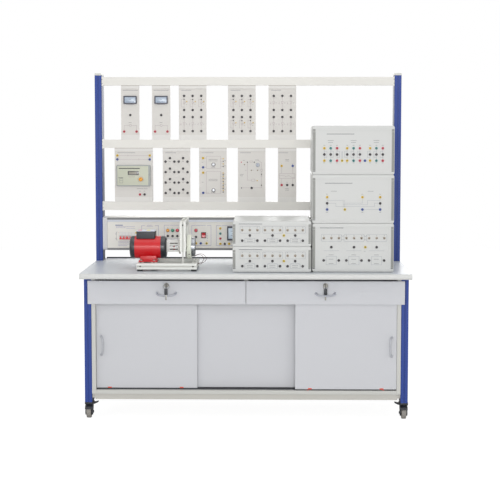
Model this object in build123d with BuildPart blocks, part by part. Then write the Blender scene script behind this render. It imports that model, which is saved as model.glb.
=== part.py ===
from build123d import *
from math import cos, radians, sin, tan
import os

# Power electronics training bench on four casters, built from separate pieces.
# Millimetres. X runs to the right, Y to the back and Z up. The origin is on the
# floor, under the middle of the worktop.

# Bench frame
bench_width = 1660
bench_depth = 810
worktop_height = 768
worktop_thickness = 28
worktop_edge_radius = 10
post_width = 38
post_depth = 100
post_corner = 3
post_groove_width = 9
post_groove_depth = 5
rear_post_front = 258
front_leg_front = -238
upright_bottom = 85
post_top = 1775
cap_height = 12
cap_edge_chamfer = 3
seat_gap = 0.3

# Base beams
beam_height = 30
beam_depth = 30
beam_bottom = 99
beam_setback = 10
beam_bracket_length = 14
beam_bracket_height = 22

# Cabinet
board = 20
back_board = 12
divider_board = 16
divider_bottom = 604
cabinet_rear = 355
back_board_setback = 8

# Sliding doors
door_thickness = 18
door_channel_pitch = 24
door_setback = 4
door_width = 519
door_bottom_gap = 4
door_top_gap = 1
middle_panel_width = 532
track_height = 8
track_plate = 3
track_fin = 3
guide_rib_height = 6
roller_radius = 9
roller_width = 7
roller_inset = 66
roller_pocket_height = 16

# Drawers
drawer_front_height = 119
drawer_front_bottom = 597
drawer_front_thickness = 20
drawer_front_gap = 1
drawer_centre_gap = 3
drawer_front_overlap = 16
drawer_box_depth = 470
drawer_box_height = 80
drawer_wall = 12
drawer_floor = 5
drawer_box_lift = 6
runner_length = 450
runner_height = 44
runner_web = 1.5
runner_depth = 8
runner_slide_thickness = 7

# Handles, locks and keys
handle_centres = 96
handle_reach = 26
handle_droop = 10
handle_section_radius = 4.5
handle_section_sides = 8
handle_bend_radius = 14
drawer_handle_height = 654
door_handle_height = 376
door_handle_inset = 24
lock_height = 695
lock_collar_radius = 12
lock_collar_height = 3
lock_plug_radius = 8
round_sides = 48
small_round_sides = 24
lock_plug_gap = 0.09
key_thickness = 2.5
key_neck_radius = 3.5
key_neck_length = 12
key_bow_height = 24
key_bow_depth = 22
key_bow_corner = 5
key_ring_wire = 2
key_ring_sides = 12
left_ring_radius = 16
left_ring_tilt = 48
right_ring_radius = 12
right_ring_tilt = 0
spare_bow_width = 17
spare_bow_height = 34
spare_bow_thickness = 3.5
spare_blade_width = 7
spare_blade_length = 26

# Casters
wheel_radius = 32
wheel_width = 24
wheel_edge_chamfer = 4
wheel_trail = 25
axle_radius = 4
running_gap = 0.09
fork_side_gap = 1
fork_cheek = 5
fork_crown_width = 46
fork_crown_depth = 54
fork_crown_height = 16
fork_crown_corner = 7
fork_boss_radius = 17
fork_boss_sides = 12
stem_radius = 5
stem_length = 25
axle_nut_radius = 7.5
axle_nut_height = 6
pedal_width = 26
pedal_barrel_radius = 4
pedal_pin_radius = 2
pedal_ear = 3
pedal_reach = 18
pedal_tip_thickness = 5
pedal_tip_rise = 3

# Module rails and hanging modules
rail_height = 45
rail_depth = 40
rail_setback = 2
lowest_rail_bottom = 1045
rail_pitch = 338
rail_flange = 5
rail_flange_rim = 3
rail_groove_width = 4.6
rail_groove_depth = 2.3
rail_groove_setback = 4.2
module_entry = 2
module_thickness = 4
module_lip_proud = 3
module_top_lip = 16
module_bottom_lip = 26
module_clearance = 0.5
narrow_module = 100
medium_module = 150
wide_module = 204
meter_module_xs = (-638, -470)
converter_module_x = 214
thyristor_module_x = -299
transistor_module_x = -32
diode_module_x = 187
supply_module_x = -623
junction_module_x = -388
trigger_module_x = -190
driver_module_x = 21
supply_box_depth = 62
supply_unit_width = 186
supply_unit_height = 115
supply_unit_proud = 12
supply_unit_lift = 85.5
supply_unit_corner = 4

# Panel meters
meter_width = 72
meter_height = 43
meter_proud = 8
meter_rim = 6
meter_corner = 2
meter_screen_recess = 2
meter_lift = 215
console_meter_height = 78
console_meter_x = -77
console_meter_lift = 92

# Console between the rear posts
console_bottom = 826
console_height = 180
console_depth = 130
console_cheek = 24
console_cheek_radius = 12
console_face_recess = 3
console_bottom_band = 12
console_top_band = 11
console_bevel_height = 15
console_bevel_depth = 10

# Breaker, rocker switch and lamps on the console
breaker_inset = 178
breaker_width = 104
breaker_height = 45
breaker_proud = 8
breaker_lift = 77
breaker_pole_pitch = 18
breaker_poles = 4
breaker_levers_shift = -15.5
lever_drum_radius = 8
lever_drum_sides = 24
lever_slot_gap = 0.4
lever_bar_reach = 16
lever_bar_thickness = 4
lever_tooth_width = 8
lever_tooth_height = 16
lever_bar_drop = 17
test_button_shift = 41
test_button_lift = 95
test_button_radius = 4
test_button_proud = 4
test_button_travel = 2
rocker_x = -241.5
output_x = -283
meter_sockets_x = -150
rocker_lift = 82
rocker_width = 20
rocker_radius = 12.5
rocker_gap = 0.3
rocker_rise = 4
rocker_tilt = 8
lamp_radius = 10
lamp_height = 7
lamp_edge_chamfer = 3
lamp_pitch = 26
phase_lamp_x = -411
lamp_lift = 108

# Laboratory sockets, on a grid of half units
grid_unit = 38
half_unit = 19
socket_radius = 6.5
small_socket_radius = 3
small_socket_sides = 6
socket_height = 4
socket_sides = 8

# Potentiometer knobs
dial_radius = 11
trimmer_radius = 8.5
gain_dial_radius = 10
knob_height = 12
knob_shaft_radius = 3
knob_shaft_length = 6
knob_sides = 16
knob_flat = 2

# Instrument cases on the worktop
large_case_width = 410
large_case_height = 242
large_case_x = 540
large_case_front = -310
low_case_width = 396
low_case_height = 126
low_case_x = 132
low_case_front = -328
case_depth = 400
case_corner_radius = 10
case_foot_height = 3
case_foot_radius = 9
case_foot_inset = 40
case_panel_recess = 3
case_panel_side_margin = 22
case_lip = 16
case_bar_width = 16
case_bar_depth = 14
case_bar_inset = 1
case_bar_end_margin = 14
case_bar_corner = 4
toggle_ball_radius = 2.3
toggle_root_radius = 1.5
toggle_tip_radius = 2.4
toggle_length = 14
toggle_rest_angle = 12
toggle_sides = 6
toggle_columns = 9
large_toggle_lift = 170
low_toggle_lift = 82
large_column_shift = 5
low_column_shift = 3

# Motor and brake rig
profile_size = 30
profile_slot_width = 8
profile_slot_depth = 5
rig_left = -554
rig_right = -249
rig_front = -285
rig_depth = 265
rig_foot_height = 10
rig_foot_radius = 14
rig_foot_sides = 16
rig_foot_inset = 15
rig_column_x = -319
rig_column_height = 214
motor_cross_bar_x = -471
shaft_height = 113
barrel_left = -573
barrel_right = -439
barrel_radius = 55
left_bell_length = 26
right_bell_length = 30
bell_radius = 54.5
bell_edge_chamfer = 8
motor_foot_width = 98
motor_foot_depth = 110
motor_foot_thickness = 6
motor_pedestal_width = 84
motor_pedestal_depth = 76
motor_foot_x = -503
terminal_box_x = -515.5
terminal_box_width = 96
terminal_box_depth = 84
terminal_box_top = 84
terminal_box_bottom = 40
terminal_box_edge_radius = 5
guard_depth = 62
guard_height = 58
guard_shift = 6
guard_wall = 3
guard_slot_length = 40
guard_slot_height = 6
guard_slot_pitch = 15.5
guard_slot_count = 3
shaft_radius = 8
shaft_in_bell = 24
coupling_radius = 18
coupling_hub_length = 20
coupling_gap = 8
coupling_jaw_count = 3
coupling_jaw_depth = 8
coupling_jaw_width = 12
brake_disc_radius = 63.5
brake_disc_length = 22
brake_ring_radius = 50
brake_ring_length = 18
brake_edge_chamfer = 3
shaft_in_brake = 30
lead_radius = 1
lead_sides = 4

os.makedirs("parts", exist_ok=True)

# Places that several pieces share
half_width = bench_width / 2
half_depth = bench_depth / 2
breaker_x = breaker_inset - half_width
post_x = half_width - post_width / 2
post_inner_x = half_width - post_width
rear_post_y = rear_post_front + post_depth / 2
front_leg_y = front_leg_front + post_depth / 2
worktop_bottom = worktop_height - worktop_thickness
cabinet_inner_x = post_inner_x - board
floor_bottom = beam_bottom + beam_height
floor_top = floor_bottom + board
divider_top = divider_bottom + divider_board
back_board_rear = cabinet_rear - back_board_setback
rail_front = rear_post_front + rail_setback
rail_bottoms = [lowest_rail_bottom + row * rail_pitch for row in range(3)]
opening_height = rail_pitch - rail_height
lower_opening, upper_opening = [rail_bottoms[row] + rail_height for row in range(2)]
module_rear = rail_front + rail_groove_setback + (rail_groove_width + module_thickness) / 2
module_face = module_rear - module_thickness
console_front = rear_post_front
console_face = console_front + console_face_recess
outer_door_front = front_leg_front + door_setback
door_bottom = floor_top + door_bottom_gap
door_top = divider_bottom - track_plate - door_top_gap
drawer_rear = front_leg_front - drawer_front_gap
drawer_front = drawer_rear - drawer_front_thickness
drawer_box_bottom = divider_top + drawer_box_lift
large_case_bottoms = [
    worktop_height + case_foot_height + row * (large_case_height + case_foot_height)
    for row in range(3)
]
low_case_bottoms = [
    worktop_height + case_foot_height + row * (low_case_height + case_foot_height)
    for row in range(2)
]
large_case_face = large_case_front + case_panel_recess
low_case_face = low_case_front + case_panel_recess
rig_bottom = worktop_height + rig_foot_height
rig_top = rig_bottom + profile_size
rig_rear = rig_front + rig_depth
shaft_y = (rig_front + rig_rear) / 2
shaft_z = worktop_height + shaft_height


def slab(x, y, z, mode=Mode.ADD):
    """A box between pairs of limits along X, Y and Z, in the open part."""
    with Locations(((x[0] + x[1]) / 2, (y[0] + y[1]) / 2, (z[0] + z[1]) / 2)):
        Box(x[1] - x[0], y[1] - y[0], z[1] - z[0], mode=mode)


def save(piece, name):
    """Labels a finished piece and writes it under its node's name."""
    piece.part.label = name
    export_step(piece.part, f"parts/{name}.step")


def front_plane(y):
    """The plane that faces the user at depth y, with X across and Z up."""
    return Plane.XZ.offset(-y)


def upright(x, y, top):
    """A grooved upright with rounded corners, from the casters up to top."""
    with BuildSketch(Plane.XY.offset(upright_bottom)) as section:
        with Locations((x, y)):
            Rectangle(post_width, post_depth)
        chamfer(section.vertices(), post_corner)
        for edge in (-1, 1):
            with Locations((x, y + edge * post_depth / 2)):
                Rectangle(post_groove_width, 2 * post_groove_depth, mode=Mode.SUBTRACT)
    extrude(section.sketch, amount=top - upright_bottom)
    with Locations((x, y, upright_bottom)):
        Cylinder(
            stem_radius + running_gap,
            stem_length + 1,
            align=(Align.CENTER, Align.CENTER, Align.MIN),
            mode=Mode.SUBTRACT,
        )


# Frame: uprights, caps, base beams and worktop
with BuildPart() as uprights:
    for side in (-1, 1):
        upright(side * post_x, rear_post_y, post_top)
        upright(side * post_x, front_leg_y, worktop_bottom)
save(uprights, "uprights")

with BuildPart() as post_caps:
    for side in (-1, 1):
        with BuildSketch(Plane.XY.offset(post_top)) as section:
            with Locations((side * post_x, rear_post_y)):
                Rectangle(post_width, post_depth)
            chamfer(section.vertices(), post_corner)
        extrude(amount=cap_height)
    chamfer(post_caps.faces().group_by(Axis.Z)[-1].edges(), cap_edge_chamfer)
save(post_caps, "post_caps")

with BuildPart() as base_beams:
    beam_top = floor_bottom
    for beam_front in (front_leg_front + beam_setback, rear_post_front + beam_setback):
        beam_end = post_inner_x - beam_bracket_length
        slab((-beam_end, beam_end), (beam_front, beam_front + beam_depth), (beam_bottom, beam_top))
        bracket_bottom = beam_top - beam_bracket_height
        bracket_rear = beam_front + beam_bracket_height
        slab((-post_inner_x, post_inner_x), (beam_front + 2, bracket_rear), (bracket_bottom, beam_top))
    for side in (-1, 1):
        across = (side * post_x - beam_depth / 2, side * post_x + beam_depth / 2)
        slab(across, (front_leg_front + post_depth, rear_post_front), (beam_bottom, beam_top))
save(base_beams, "base_beams")

with BuildPart() as worktop:
    slab((-half_width, half_width), (-half_depth, half_depth), (worktop_bottom, worktop_height))
    notch_y = (rear_post_front - seat_gap, rear_post_front + post_depth + seat_gap)
    for side in (-1, 1):
        notch_x = sorted((side * (post_inner_x - seat_gap), side * (half_width + 1)))
        slab(notch_x, notch_y, (worktop_bottom - 1, worktop_height + 1), Mode.SUBTRACT)
    fillet(worktop.edges().filter_by(Axis.X).group_by(Axis.Y)[0], worktop_edge_radius)
save(worktop, "worktop")

# Cabinet: boards, fixed middle panel, door tracks and drawer runners
with BuildPart() as cabinet_boards:
    for side in (-1, 1):
        across = sorted((side * cabinet_inner_x, side * post_inner_x))
        slab(across, (front_leg_front, cabinet_rear), (floor_bottom, worktop_bottom))
    inner = cabinet_inner_x - seat_gap
    back_front = back_board_rear - back_board
    slab((-inner, inner), (front_leg_front, back_front - seat_gap), (floor_bottom, floor_top))
    slab((-inner, inner), (back_front, back_board_rear), (floor_bottom, worktop_bottom))
    slab((-inner, inner), (outer_door_front, back_front - seat_gap), (divider_bottom, divider_top))
    centre_board_z = (divider_top + seat_gap, worktop_bottom)
    slab((-board / 2, board / 2), (front_leg_front, back_front - seat_gap), centre_board_z)
save(cabinet_boards, "cabinet_boards")

middle_panel_front = outer_door_front + 2 * door_channel_pitch
with BuildPart() as middle_panel:
    slab(
        (-middle_panel_width / 2, middle_panel_width / 2),
        (middle_panel_front, middle_panel_front + door_thickness),
        (floor_top, door_top),
    )
save(middle_panel, "middle_panel")

drawer_sides = {"left": (-cabinet_inner_x, -board / 2), "right": (board / 2, cabinet_inner_x)}
runner_middle = drawer_box_bottom + drawer_box_height / 2
runner_front = front_leg_front + 2


def runner_channel(wall_x, inward):
    """A C channel on a compartment wall, open towards the drawer."""
    web = sorted((wall_x, wall_x + inward * runner_web))
    lip = sorted((wall_x, wall_x + inward * runner_depth))
    along = (runner_front, runner_front + runner_length)
    low, high = runner_middle - runner_height / 2, runner_middle + runner_height / 2
    slab(web, along, (low, high))
    slab(lip, along, (low, low + runner_web))
    slab(lip, along, (high - runner_web, high))


# The top track is a plate with a downward fin beside each board. The floor carries
# two low ribs that guide the rollers. Four channels carry the drawers.
channel_gap = door_channel_pitch - door_thickness
with BuildPart() as runners_and_tracks:
    fin_starts = [
        outer_door_front + lane * door_channel_pitch - (channel_gap + track_fin) / 2
        for lane in range(4)
    ]
    track_y = (fin_starts[0], fin_starts[-1] + track_fin)
    track_z = (divider_bottom - track_plate, divider_bottom)
    slab((-inner, inner), track_y, track_z)
    for start in fin_starts:
        slab((-inner, inner), (start, start + track_fin), (divider_bottom - track_height, track_z[0]))
    for start in fin_starts[1:3]:
        slab((-inner, inner), (start, start + track_fin), (floor_top, floor_top + guide_rib_height))
    for low_x, high_x in drawer_sides.values():
        runner_channel(low_x, 1)
        runner_channel(high_x, -1)
save(runners_and_tracks, "runners_and_tracks")


# Drawers: a front board and an open box of boards on two slide bars
slide_bar_inset = runner_web + seat_gap
box_side_inset = slide_bar_inset + runner_slide_thickness
slide_bar_half = runner_height / 2 - runner_web - seat_gap
drawer_fronts = {
    "left": (-cabinet_inner_x - board - drawer_front_overlap, -drawer_centre_gap / 2),
    "right": (drawer_centre_gap / 2, cabinet_inner_x + board + drawer_front_overlap),
}
drawer_middles = {side: sum(span) / 2 for side, span in drawer_fronts.items()}

for side, (low_x, high_x) in drawer_sides.items():
    box_low, box_high = low_x + box_side_inset, high_x - box_side_inset
    box_y = (drawer_rear, drawer_rear + drawer_box_depth)
    box_z = (drawer_box_bottom, drawer_box_bottom + drawer_box_height)
    front_z = (drawer_front_bottom, drawer_front_bottom + drawer_front_height)
    with BuildPart() as drawer:
        slab(drawer_fronts[side], (drawer_front, drawer_rear), front_z)
        with Locations(Location((drawer_middles[side], drawer_front, lock_height), (90, 0, 0))):
            Cylinder(
                lock_plug_radius + lock_plug_gap,
                2 * drawer_front_thickness + 1,
                mode=Mode.SUBTRACT,
            )
        side_y = (box_y[0] + seat_gap, box_y[1])
        for wall in ((box_low, box_low + drawer_wall), (box_high - drawer_wall, box_high)):
            slab(wall, side_y, box_z)
        inner_x = (box_low + drawer_wall + seat_gap, box_high - drawer_wall - seat_gap)
        slab(inner_x, (box_y[1] - drawer_wall, box_y[1]), box_z)
        floor_y = (side_y[0], box_y[1] - drawer_wall - seat_gap)
        slab(inner_x, floor_y, (box_z[0], box_z[0] + drawer_floor))
        bar_y = (runner_front + seat_gap, runner_front + runner_length)
        bar_z = (runner_middle - slide_bar_half, runner_middle + slide_bar_half)
        slab((low_x + slide_bar_inset, box_low - 0.1), bar_y, bar_z)
        slab((box_high + 0.1, high_x - slide_bar_inset), bar_y, bar_z)
    save(drawer, f"drawer_{side}")


def bow_handle(foot_a, foot_b, droop):
    """A bow handle on two feet on a front board. Its bar stands handle_reach
    in front of the feet and is moved by droop across the line of the feet."""
    reach = Vector(0, -handle_reach, 0) + Vector(*droop)
    along = (Vector(*foot_b) - Vector(*foot_a)).normalized()
    knee_a = Vector(*foot_a) + reach + along * handle_section_radius
    knee_b = Vector(*foot_b) + reach - along * handle_section_radius
    with BuildLine():
        path = FilletPolyline(foot_a, knee_a, knee_b, foot_b, radius=handle_bend_radius)
    with BuildSketch(Plane(origin=foot_a, z_dir=path % 0)) as section:
        RegularPolygon(handle_section_radius, handle_section_sides)
    sweep(section.sketch, path=path)
    slab(
        (foot_a[0] - handle_section_radius - 1, foot_a[0] + handle_section_radius + 1),
        (foot_a[1], foot_a[1] + 2 * handle_section_radius),
        (foot_a[2] - handle_section_radius - 1, foot_a[2] + handle_section_radius + 1),
        Mode.SUBTRACT,
    )
    slab(
        (foot_b[0] - handle_section_radius - 1, foot_b[0] + handle_section_radius + 1),
        (foot_b[1], foot_b[1] + 2 * handle_section_radius),
        (foot_b[2] - handle_section_radius - 1, foot_b[2] + handle_section_radius + 1),
        Mode.SUBTRACT,
    )


# A key turns the lock plug. Its twin hangs on a ring from the key's neck, in front
# of the left handle's bar and behind the right one's.
plug_front = drawer_front - lock_collar_height - 1
ring_hang_y = plug_front - 4
ring_hang_z = lock_height + key_neck_radius + seat_gap + 0.75 * key_ring_wire
key_rings = {
    "left": (left_ring_radius, left_ring_tilt),
    "right": (right_ring_radius, right_ring_tilt),
}
for side, middle in drawer_middles.items():
    with BuildPart() as drawer_fittings:
        feet = [(middle + end * handle_centres / 2, drawer_front, drawer_handle_height) for end in (-1, 1)]
        bow_handle(*feet, (0, 0, -handle_droop))
        with BuildSketch(front_plane(drawer_front)):
            with Locations((middle, lock_height)):
                RegularPolygon(lock_collar_radius, small_round_sides)
                Circle(lock_plug_radius + lock_plug_gap, mode=Mode.SUBTRACT)
        extrude(amount=lock_collar_height)

        ring_radius, tilt = key_rings[side]
        down = Vector(0, -sin(radians(tilt)), -cos(radians(tilt)))
        ring_middle = Vector(middle, ring_hang_y, ring_hang_z) + down * ring_radius
        ring_plane = Plane(origin=ring_middle, x_dir=(1, 0, 0), z_dir=down.cross(Vector(1, 0, 0)))
        with BuildSketch(ring_plane.offset(-key_ring_wire / 2)):
            RegularPolygon(ring_radius + key_ring_wire / 2, key_ring_sides)
            RegularPolygon(ring_radius - key_ring_wire / 2, key_ring_sides, mode=Mode.SUBTRACT)
        extrude(amount=key_ring_wire)
        ring_low = ring_middle + down * ring_radius
        spare_top = ring_low.Z + 3
        spare_back = ring_low.Y + (spare_bow_thickness / 2 if tilt == 0 else -0.2)
        with BuildSketch(front_plane(spare_back)) as spare_bow:
            with Locations((middle, spare_top - spare_bow_height / 2)):
                Rectangle(spare_bow_width, spare_bow_height)
            chamfer(spare_bow.vertices(), key_bow_corner)
        extrude(amount=spare_bow_thickness)
        blade_back = spare_back - (spare_bow_thickness - key_thickness) / 2
        with BuildSketch(front_plane(blade_back)):
            with Locations((middle, spare_top - spare_bow_height - spare_blade_length / 2)):
                Rectangle(spare_blade_width, spare_blade_length + 1)
        extrude(amount=key_thickness)
    save(drawer_fittings, f"drawer_fittings_{side}")

    neck_front = plug_front - key_neck_length
    with BuildPart() as key:
        with BuildSketch(front_plane(drawer_rear)):
            with Locations((middle, lock_height)):
                Circle(lock_plug_radius)
        extrude(amount=drawer_rear - plug_front)
        with BuildSketch(front_plane(plug_front)):
            with Locations((middle, lock_height)):
                RegularPolygon(key_neck_radius, socket_sides)
        extrude(amount=key_neck_length + 2)
        with BuildSketch(Plane.YZ.offset(middle - key_thickness / 2)) as bow:
            with Locations((neck_front - key_bow_depth / 2, lock_height)):
                Rectangle(key_bow_depth, key_bow_height)
            chamfer(bow.vertices(), key_bow_corner)
        extrude(amount=key_thickness)
    save(key, f"key_{side}")

# Sliding doors: the right one runs in the outer channel, the left one behind it.
doors = {
    "left": (-1, outer_door_front + door_channel_pitch),
    "right": (1, outer_door_front),
}
for side, (sign, door_front) in doors.items():
    outer_edge = sign * (cabinet_inner_x - 1)
    span = sorted((outer_edge, outer_edge - sign * door_width))
    roller_y = door_front + door_thickness / 2 - roller_width / 2
    roller_z = floor_top + seat_gap + roller_radius
    roller_xs = (span[0] + roller_inset, span[1] - roller_inset)
    with BuildPart() as door:
        slab(span, (door_front, door_front + door_thickness), (door_bottom, door_top))
        for roller_x in roller_xs:
            pocket_x = (
                roller_x - roller_radius - seat_gap,
                roller_x + roller_radius + seat_gap,
            )
            pocket_y = (roller_y - seat_gap, roller_y + roller_width + seat_gap)
            slab(pocket_x, pocket_y, (door_bottom - 1, door_bottom + roller_pocket_height), Mode.SUBTRACT)
    save(door, f"door_{side}")

    handle_x = outer_edge - sign * door_handle_inset
    with BuildPart() as door_fittings:
        feet = [
            (handle_x, door_front, door_handle_height + end * handle_centres / 2) for end in (-1, 1)
        ]
        bow_handle(*feet, (-sign * handle_droop, 0, 0))
        for roller_x in roller_xs:
            with BuildSketch(front_plane(roller_y + roller_width)):
                with Locations((roller_x, roller_z)):
                    RegularPolygon(roller_radius, knob_sides)
            extrude(amount=roller_width)
    save(door_fittings, f"door_fittings_{side}")

# Casters: a fork on a vertical stem, a wheel on its axle, and a brake pedal on the
# inner side of the two front ones. All wheels trail towards the front.
axle_z = wheel_radius
crown_top = upright_bottom - seat_gap
crown_bottom = crown_top - fork_crown_height
cheek_inner = wheel_width / 2 + fork_side_gap
cheek_outer = cheek_inner + fork_cheek
pedal_axis_inset = fork_crown_width / 2 + pedal_barrel_radius + 0.5
pedal_axis_z = crown_bottom + pedal_barrel_radius + 1
caster_spots = {
    "front_left": (-post_x, front_leg_y, 1),
    "front_right": (post_x, front_leg_y, -1),
    "rear_left": (-post_x, rear_post_y, 1),
    "rear_right": (post_x, rear_post_y, -1),
}


def axle(x, y, radius, length):
    """A cylinder along X through the wheel's centre, in the open sketch's place."""
    with BuildSketch(Plane.YZ.offset(x - length / 2)) as section:
        with Locations((y, axle_z)):
            Circle(radius)
    extrude(section.sketch, amount=length)


for place, (x, y, inward) in caster_spots.items():
    wheel_y = y - wheel_trail
    braked = place.startswith("front")
    with BuildPart() as fork:
        with BuildSketch(Plane.XY.offset(crown_bottom)) as crown:
            with Locations((x, y - wheel_trail / 4)):
                Rectangle(fork_crown_width, fork_crown_depth)
            chamfer(crown.vertices(), fork_crown_corner)
        extrude(amount=fork_crown_height)
        with Locations((x, y, crown_top)):
            Cylinder(stem_radius, stem_length, align=(Align.CENTER, Align.CENTER, Align.MIN))
        for sign in (-1, 1):
            start = x + sign * cheek_inner if sign > 0 else x - cheek_outer
            with BuildSketch(Plane.YZ.offset(start)):
                with Locations((wheel_y, axle_z)):
                    RegularPolygon(fork_boss_radius, fork_boss_sides)
                with BuildLine():
                    Polyline(
                        (y - wheel_trail / 4 - fork_crown_depth / 2 + 6, crown_bottom + 1),
                        (wheel_y - fork_boss_radius, axle_z),
                        (wheel_y + fork_boss_radius, axle_z),
                        (y - wheel_trail / 4 + fork_crown_depth / 2 - 8, crown_bottom + 1),
                        close=True,
                    )
                make_face()
            extrude(amount=fork_cheek)
        axle(x, wheel_y, axle_radius, 2 * cheek_outer)
        nut_x = x + inward * (cheek_outer + axle_nut_height / 2)
        with BuildSketch(Plane.YZ.offset(nut_x - axle_nut_height / 2)):
            with Locations((wheel_y, axle_z)):
                RegularPolygon(axle_nut_radius, 6)
        extrude(amount=axle_nut_height)
        if braked:
            for end in (-1, 1):
                ear_y = y + end * (pedal_width / 2 + seat_gap + pedal_ear / 2) - pedal_ear / 2
                with BuildSketch(Plane.XZ.offset(-ear_y - pedal_ear)):
                    with Locations((x + inward * pedal_axis_inset, pedal_axis_z)):
                        Circle(pedal_barrel_radius)
                    with Locations((x + inward * (pedal_axis_inset - 4), pedal_axis_z)):
                        Rectangle(8, 2 * pedal_barrel_radius)
                    with Locations((x + inward * pedal_axis_inset, pedal_axis_z)):
                        Circle(pedal_pin_radius + running_gap, mode=Mode.SUBTRACT)
                extrude(amount=pedal_ear)
    save(fork, f"caster_fork_{place}")

    with BuildPart() as wheel:
        with BuildSketch(Plane.YZ.offset(x - wheel_width / 2)):
            with Locations((wheel_y, axle_z)):
                RegularPolygon(wheel_radius, round_sides)
        extrude(amount=wheel_width)
        for rim in wheel.faces().filter_by(Axis.X):
            chamfer(rim.edges(), wheel_edge_chamfer)
        with BuildSketch(Plane.YZ.offset(x - wheel_width)):
            with Locations((wheel_y, axle_z)):
                Circle(axle_radius + running_gap)
        extrude(amount=2 * wheel_width, mode=Mode.SUBTRACT)
    save(wheel, f"caster_wheel_{place}")

    if braked:
        pivot_x = x + inward * pedal_axis_inset
        pin_length = pedal_width + 2 * (seat_gap + pedal_ear)
        with BuildPart() as pedal:
            with BuildSketch(Plane.XZ.offset(-y - pedal_width / 2)):
                with Locations((pivot_x, pedal_axis_z)):
                    Circle(pedal_barrel_radius)
                tip_x = pivot_x + inward * pedal_reach
                with BuildLine():
                    Polyline(
                        (pivot_x, pedal_axis_z - pedal_barrel_radius),
                        (tip_x, pedal_axis_z + pedal_tip_rise),
                        (tip_x, pedal_axis_z + pedal_tip_rise + pedal_tip_thickness),
                        (pivot_x, pedal_axis_z + pedal_barrel_radius),
                        close=True,
                    )
                make_face()
            extrude(amount=pedal_width)
            with Locations(Location((pivot_x, y, pedal_axis_z), (90, 0, 0))):
                Cylinder(pedal_pin_radius, pin_length)
        save(pedal, f"brake_pedal_{place.split('_')[1]}")

# Module rails: three grooved bars with an end flange on each post
rail_end = post_inner_x - rail_flange
groove_middle = rail_front + rail_groove_setback + rail_groove_width / 2
with BuildPart() as module_rails:
    for bottom in rail_bottoms:
        with BuildSketch(Plane.YZ.offset(-rail_end)):
            with Locations((rail_front + rail_depth / 2, bottom + rail_height / 2)):
                Rectangle(rail_depth, rail_height)
            for edge in (bottom, bottom + rail_height):
                with Locations((groove_middle, edge)):
                    Rectangle(rail_groove_width, 2 * rail_groove_depth, mode=Mode.SUBTRACT)
        extrude(amount=2 * rail_end)
        for side in (-1, 1):
            slab(
                sorted((side * rail_end, side * post_inner_x)),
                (rail_front - 1, rail_front + rail_depth + 1),
                (bottom - rail_flange_rim, bottom + rail_height + rail_flange_rim),
            )
save(module_rails, "module_rails")


def module_board(x, width, opening):
    """A module's board, seated in the grooves of two rails, with proud lips."""
    span = (x - width / 2, x + width / 2)
    top = opening + opening_height
    slab(span, (module_face, module_rear), (opening - module_entry, top + module_entry))
    lip_y = (module_face - module_lip_proud, module_face)
    slab(span, lip_y, (top - module_clearance - module_top_lip, top - module_clearance))
    slab(span, lip_y, (opening + module_clearance, opening + module_bottom_lip))


with BuildPart() as module_boards:
    for x in (*meter_module_xs,):
        module_board(x, narrow_module, upper_opening)
    for x in (thyristor_module_x, transistor_module_x, diode_module_x):
        module_board(x, medium_module, upper_opening)
    for x in (junction_module_x, trigger_module_x, driver_module_x):
        module_board(x, medium_module, lower_opening)
    module_board(converter_module_x, narrow_module, lower_opening)
    # Bores for the shafts of the two trimmers and the gain dial
    trimmer_spots = [
        (trigger_module_x + 3, lower_opening + 203),
        (trigger_module_x + 3, lower_opening + 63),
    ]
    gain_spot = (driver_module_x + 33, lower_opening + 201)
    with BuildSketch(front_plane(module_rear + 1)):
        with Locations(*trimmer_spots, gain_spot):
            Circle(knob_shaft_radius + running_gap)
    extrude(amount=module_thickness + 2, mode=Mode.SUBTRACT)
save(module_boards, "module_boards")

supply_span = (supply_module_x - wide_module / 2, supply_module_x + wide_module / 2)
with BuildPart() as supply_module:
    module_board(supply_module_x, wide_module, lower_opening)
    slab(
        supply_span,
        (module_rear, module_rear + supply_box_depth),
        (lower_opening + module_clearance, lower_opening + opening_height - module_clearance),
    )
save(supply_module, "supply_module")

supply_unit_z = lower_opening + supply_unit_lift + supply_unit_height / 2
dial_spot = (supply_module_x + 41, lower_opening + 123)
with BuildPart() as supply_unit:
    with BuildSketch(front_plane(module_face)):
        with Locations((supply_module_x + 1, supply_unit_z)):
            Rectangle(supply_unit_width, supply_unit_height)
    extrude(amount=supply_unit_proud)
    chamfer(supply_unit.edges().filter_by(Axis.Y), supply_unit_corner)
    chamfer(supply_unit.faces().sort_by(Axis.Y)[0].edges(), 1.5)
    with BuildSketch(front_plane(module_face)):
        with Locations(dial_spot):
            Circle(knob_shaft_radius + running_gap)
    extrude(amount=2 * supply_unit_proud, mode=Mode.SUBTRACT)
save(supply_unit, "supply_unit")


def meter(x, z, face, height):
    """A panel meter: a proud frame round a recessed screen."""
    with BuildSketch(front_plane(face)) as section:
        with Locations((x, z)):
            Rectangle(meter_width, height)
        chamfer(section.vertices(), meter_corner)
    extrude(section.sketch, amount=meter_proud)
    with BuildSketch(front_plane(face - meter_proud)) as section:
        with Locations((x, z)):
            Rectangle(meter_width - 2 * meter_rim, height - 2 * meter_rim)
    extrude(section.sketch, amount=-meter_screen_recess, mode=Mode.SUBTRACT)


with BuildPart() as panel_meters:
    for x in meter_module_xs:
        meter(x, upper_opening + meter_lift, module_face, meter_height)
    meter(console_meter_x, console_bottom + console_meter_lift, console_face, console_meter_height)
save(panel_meters, "panel_meters")

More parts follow.
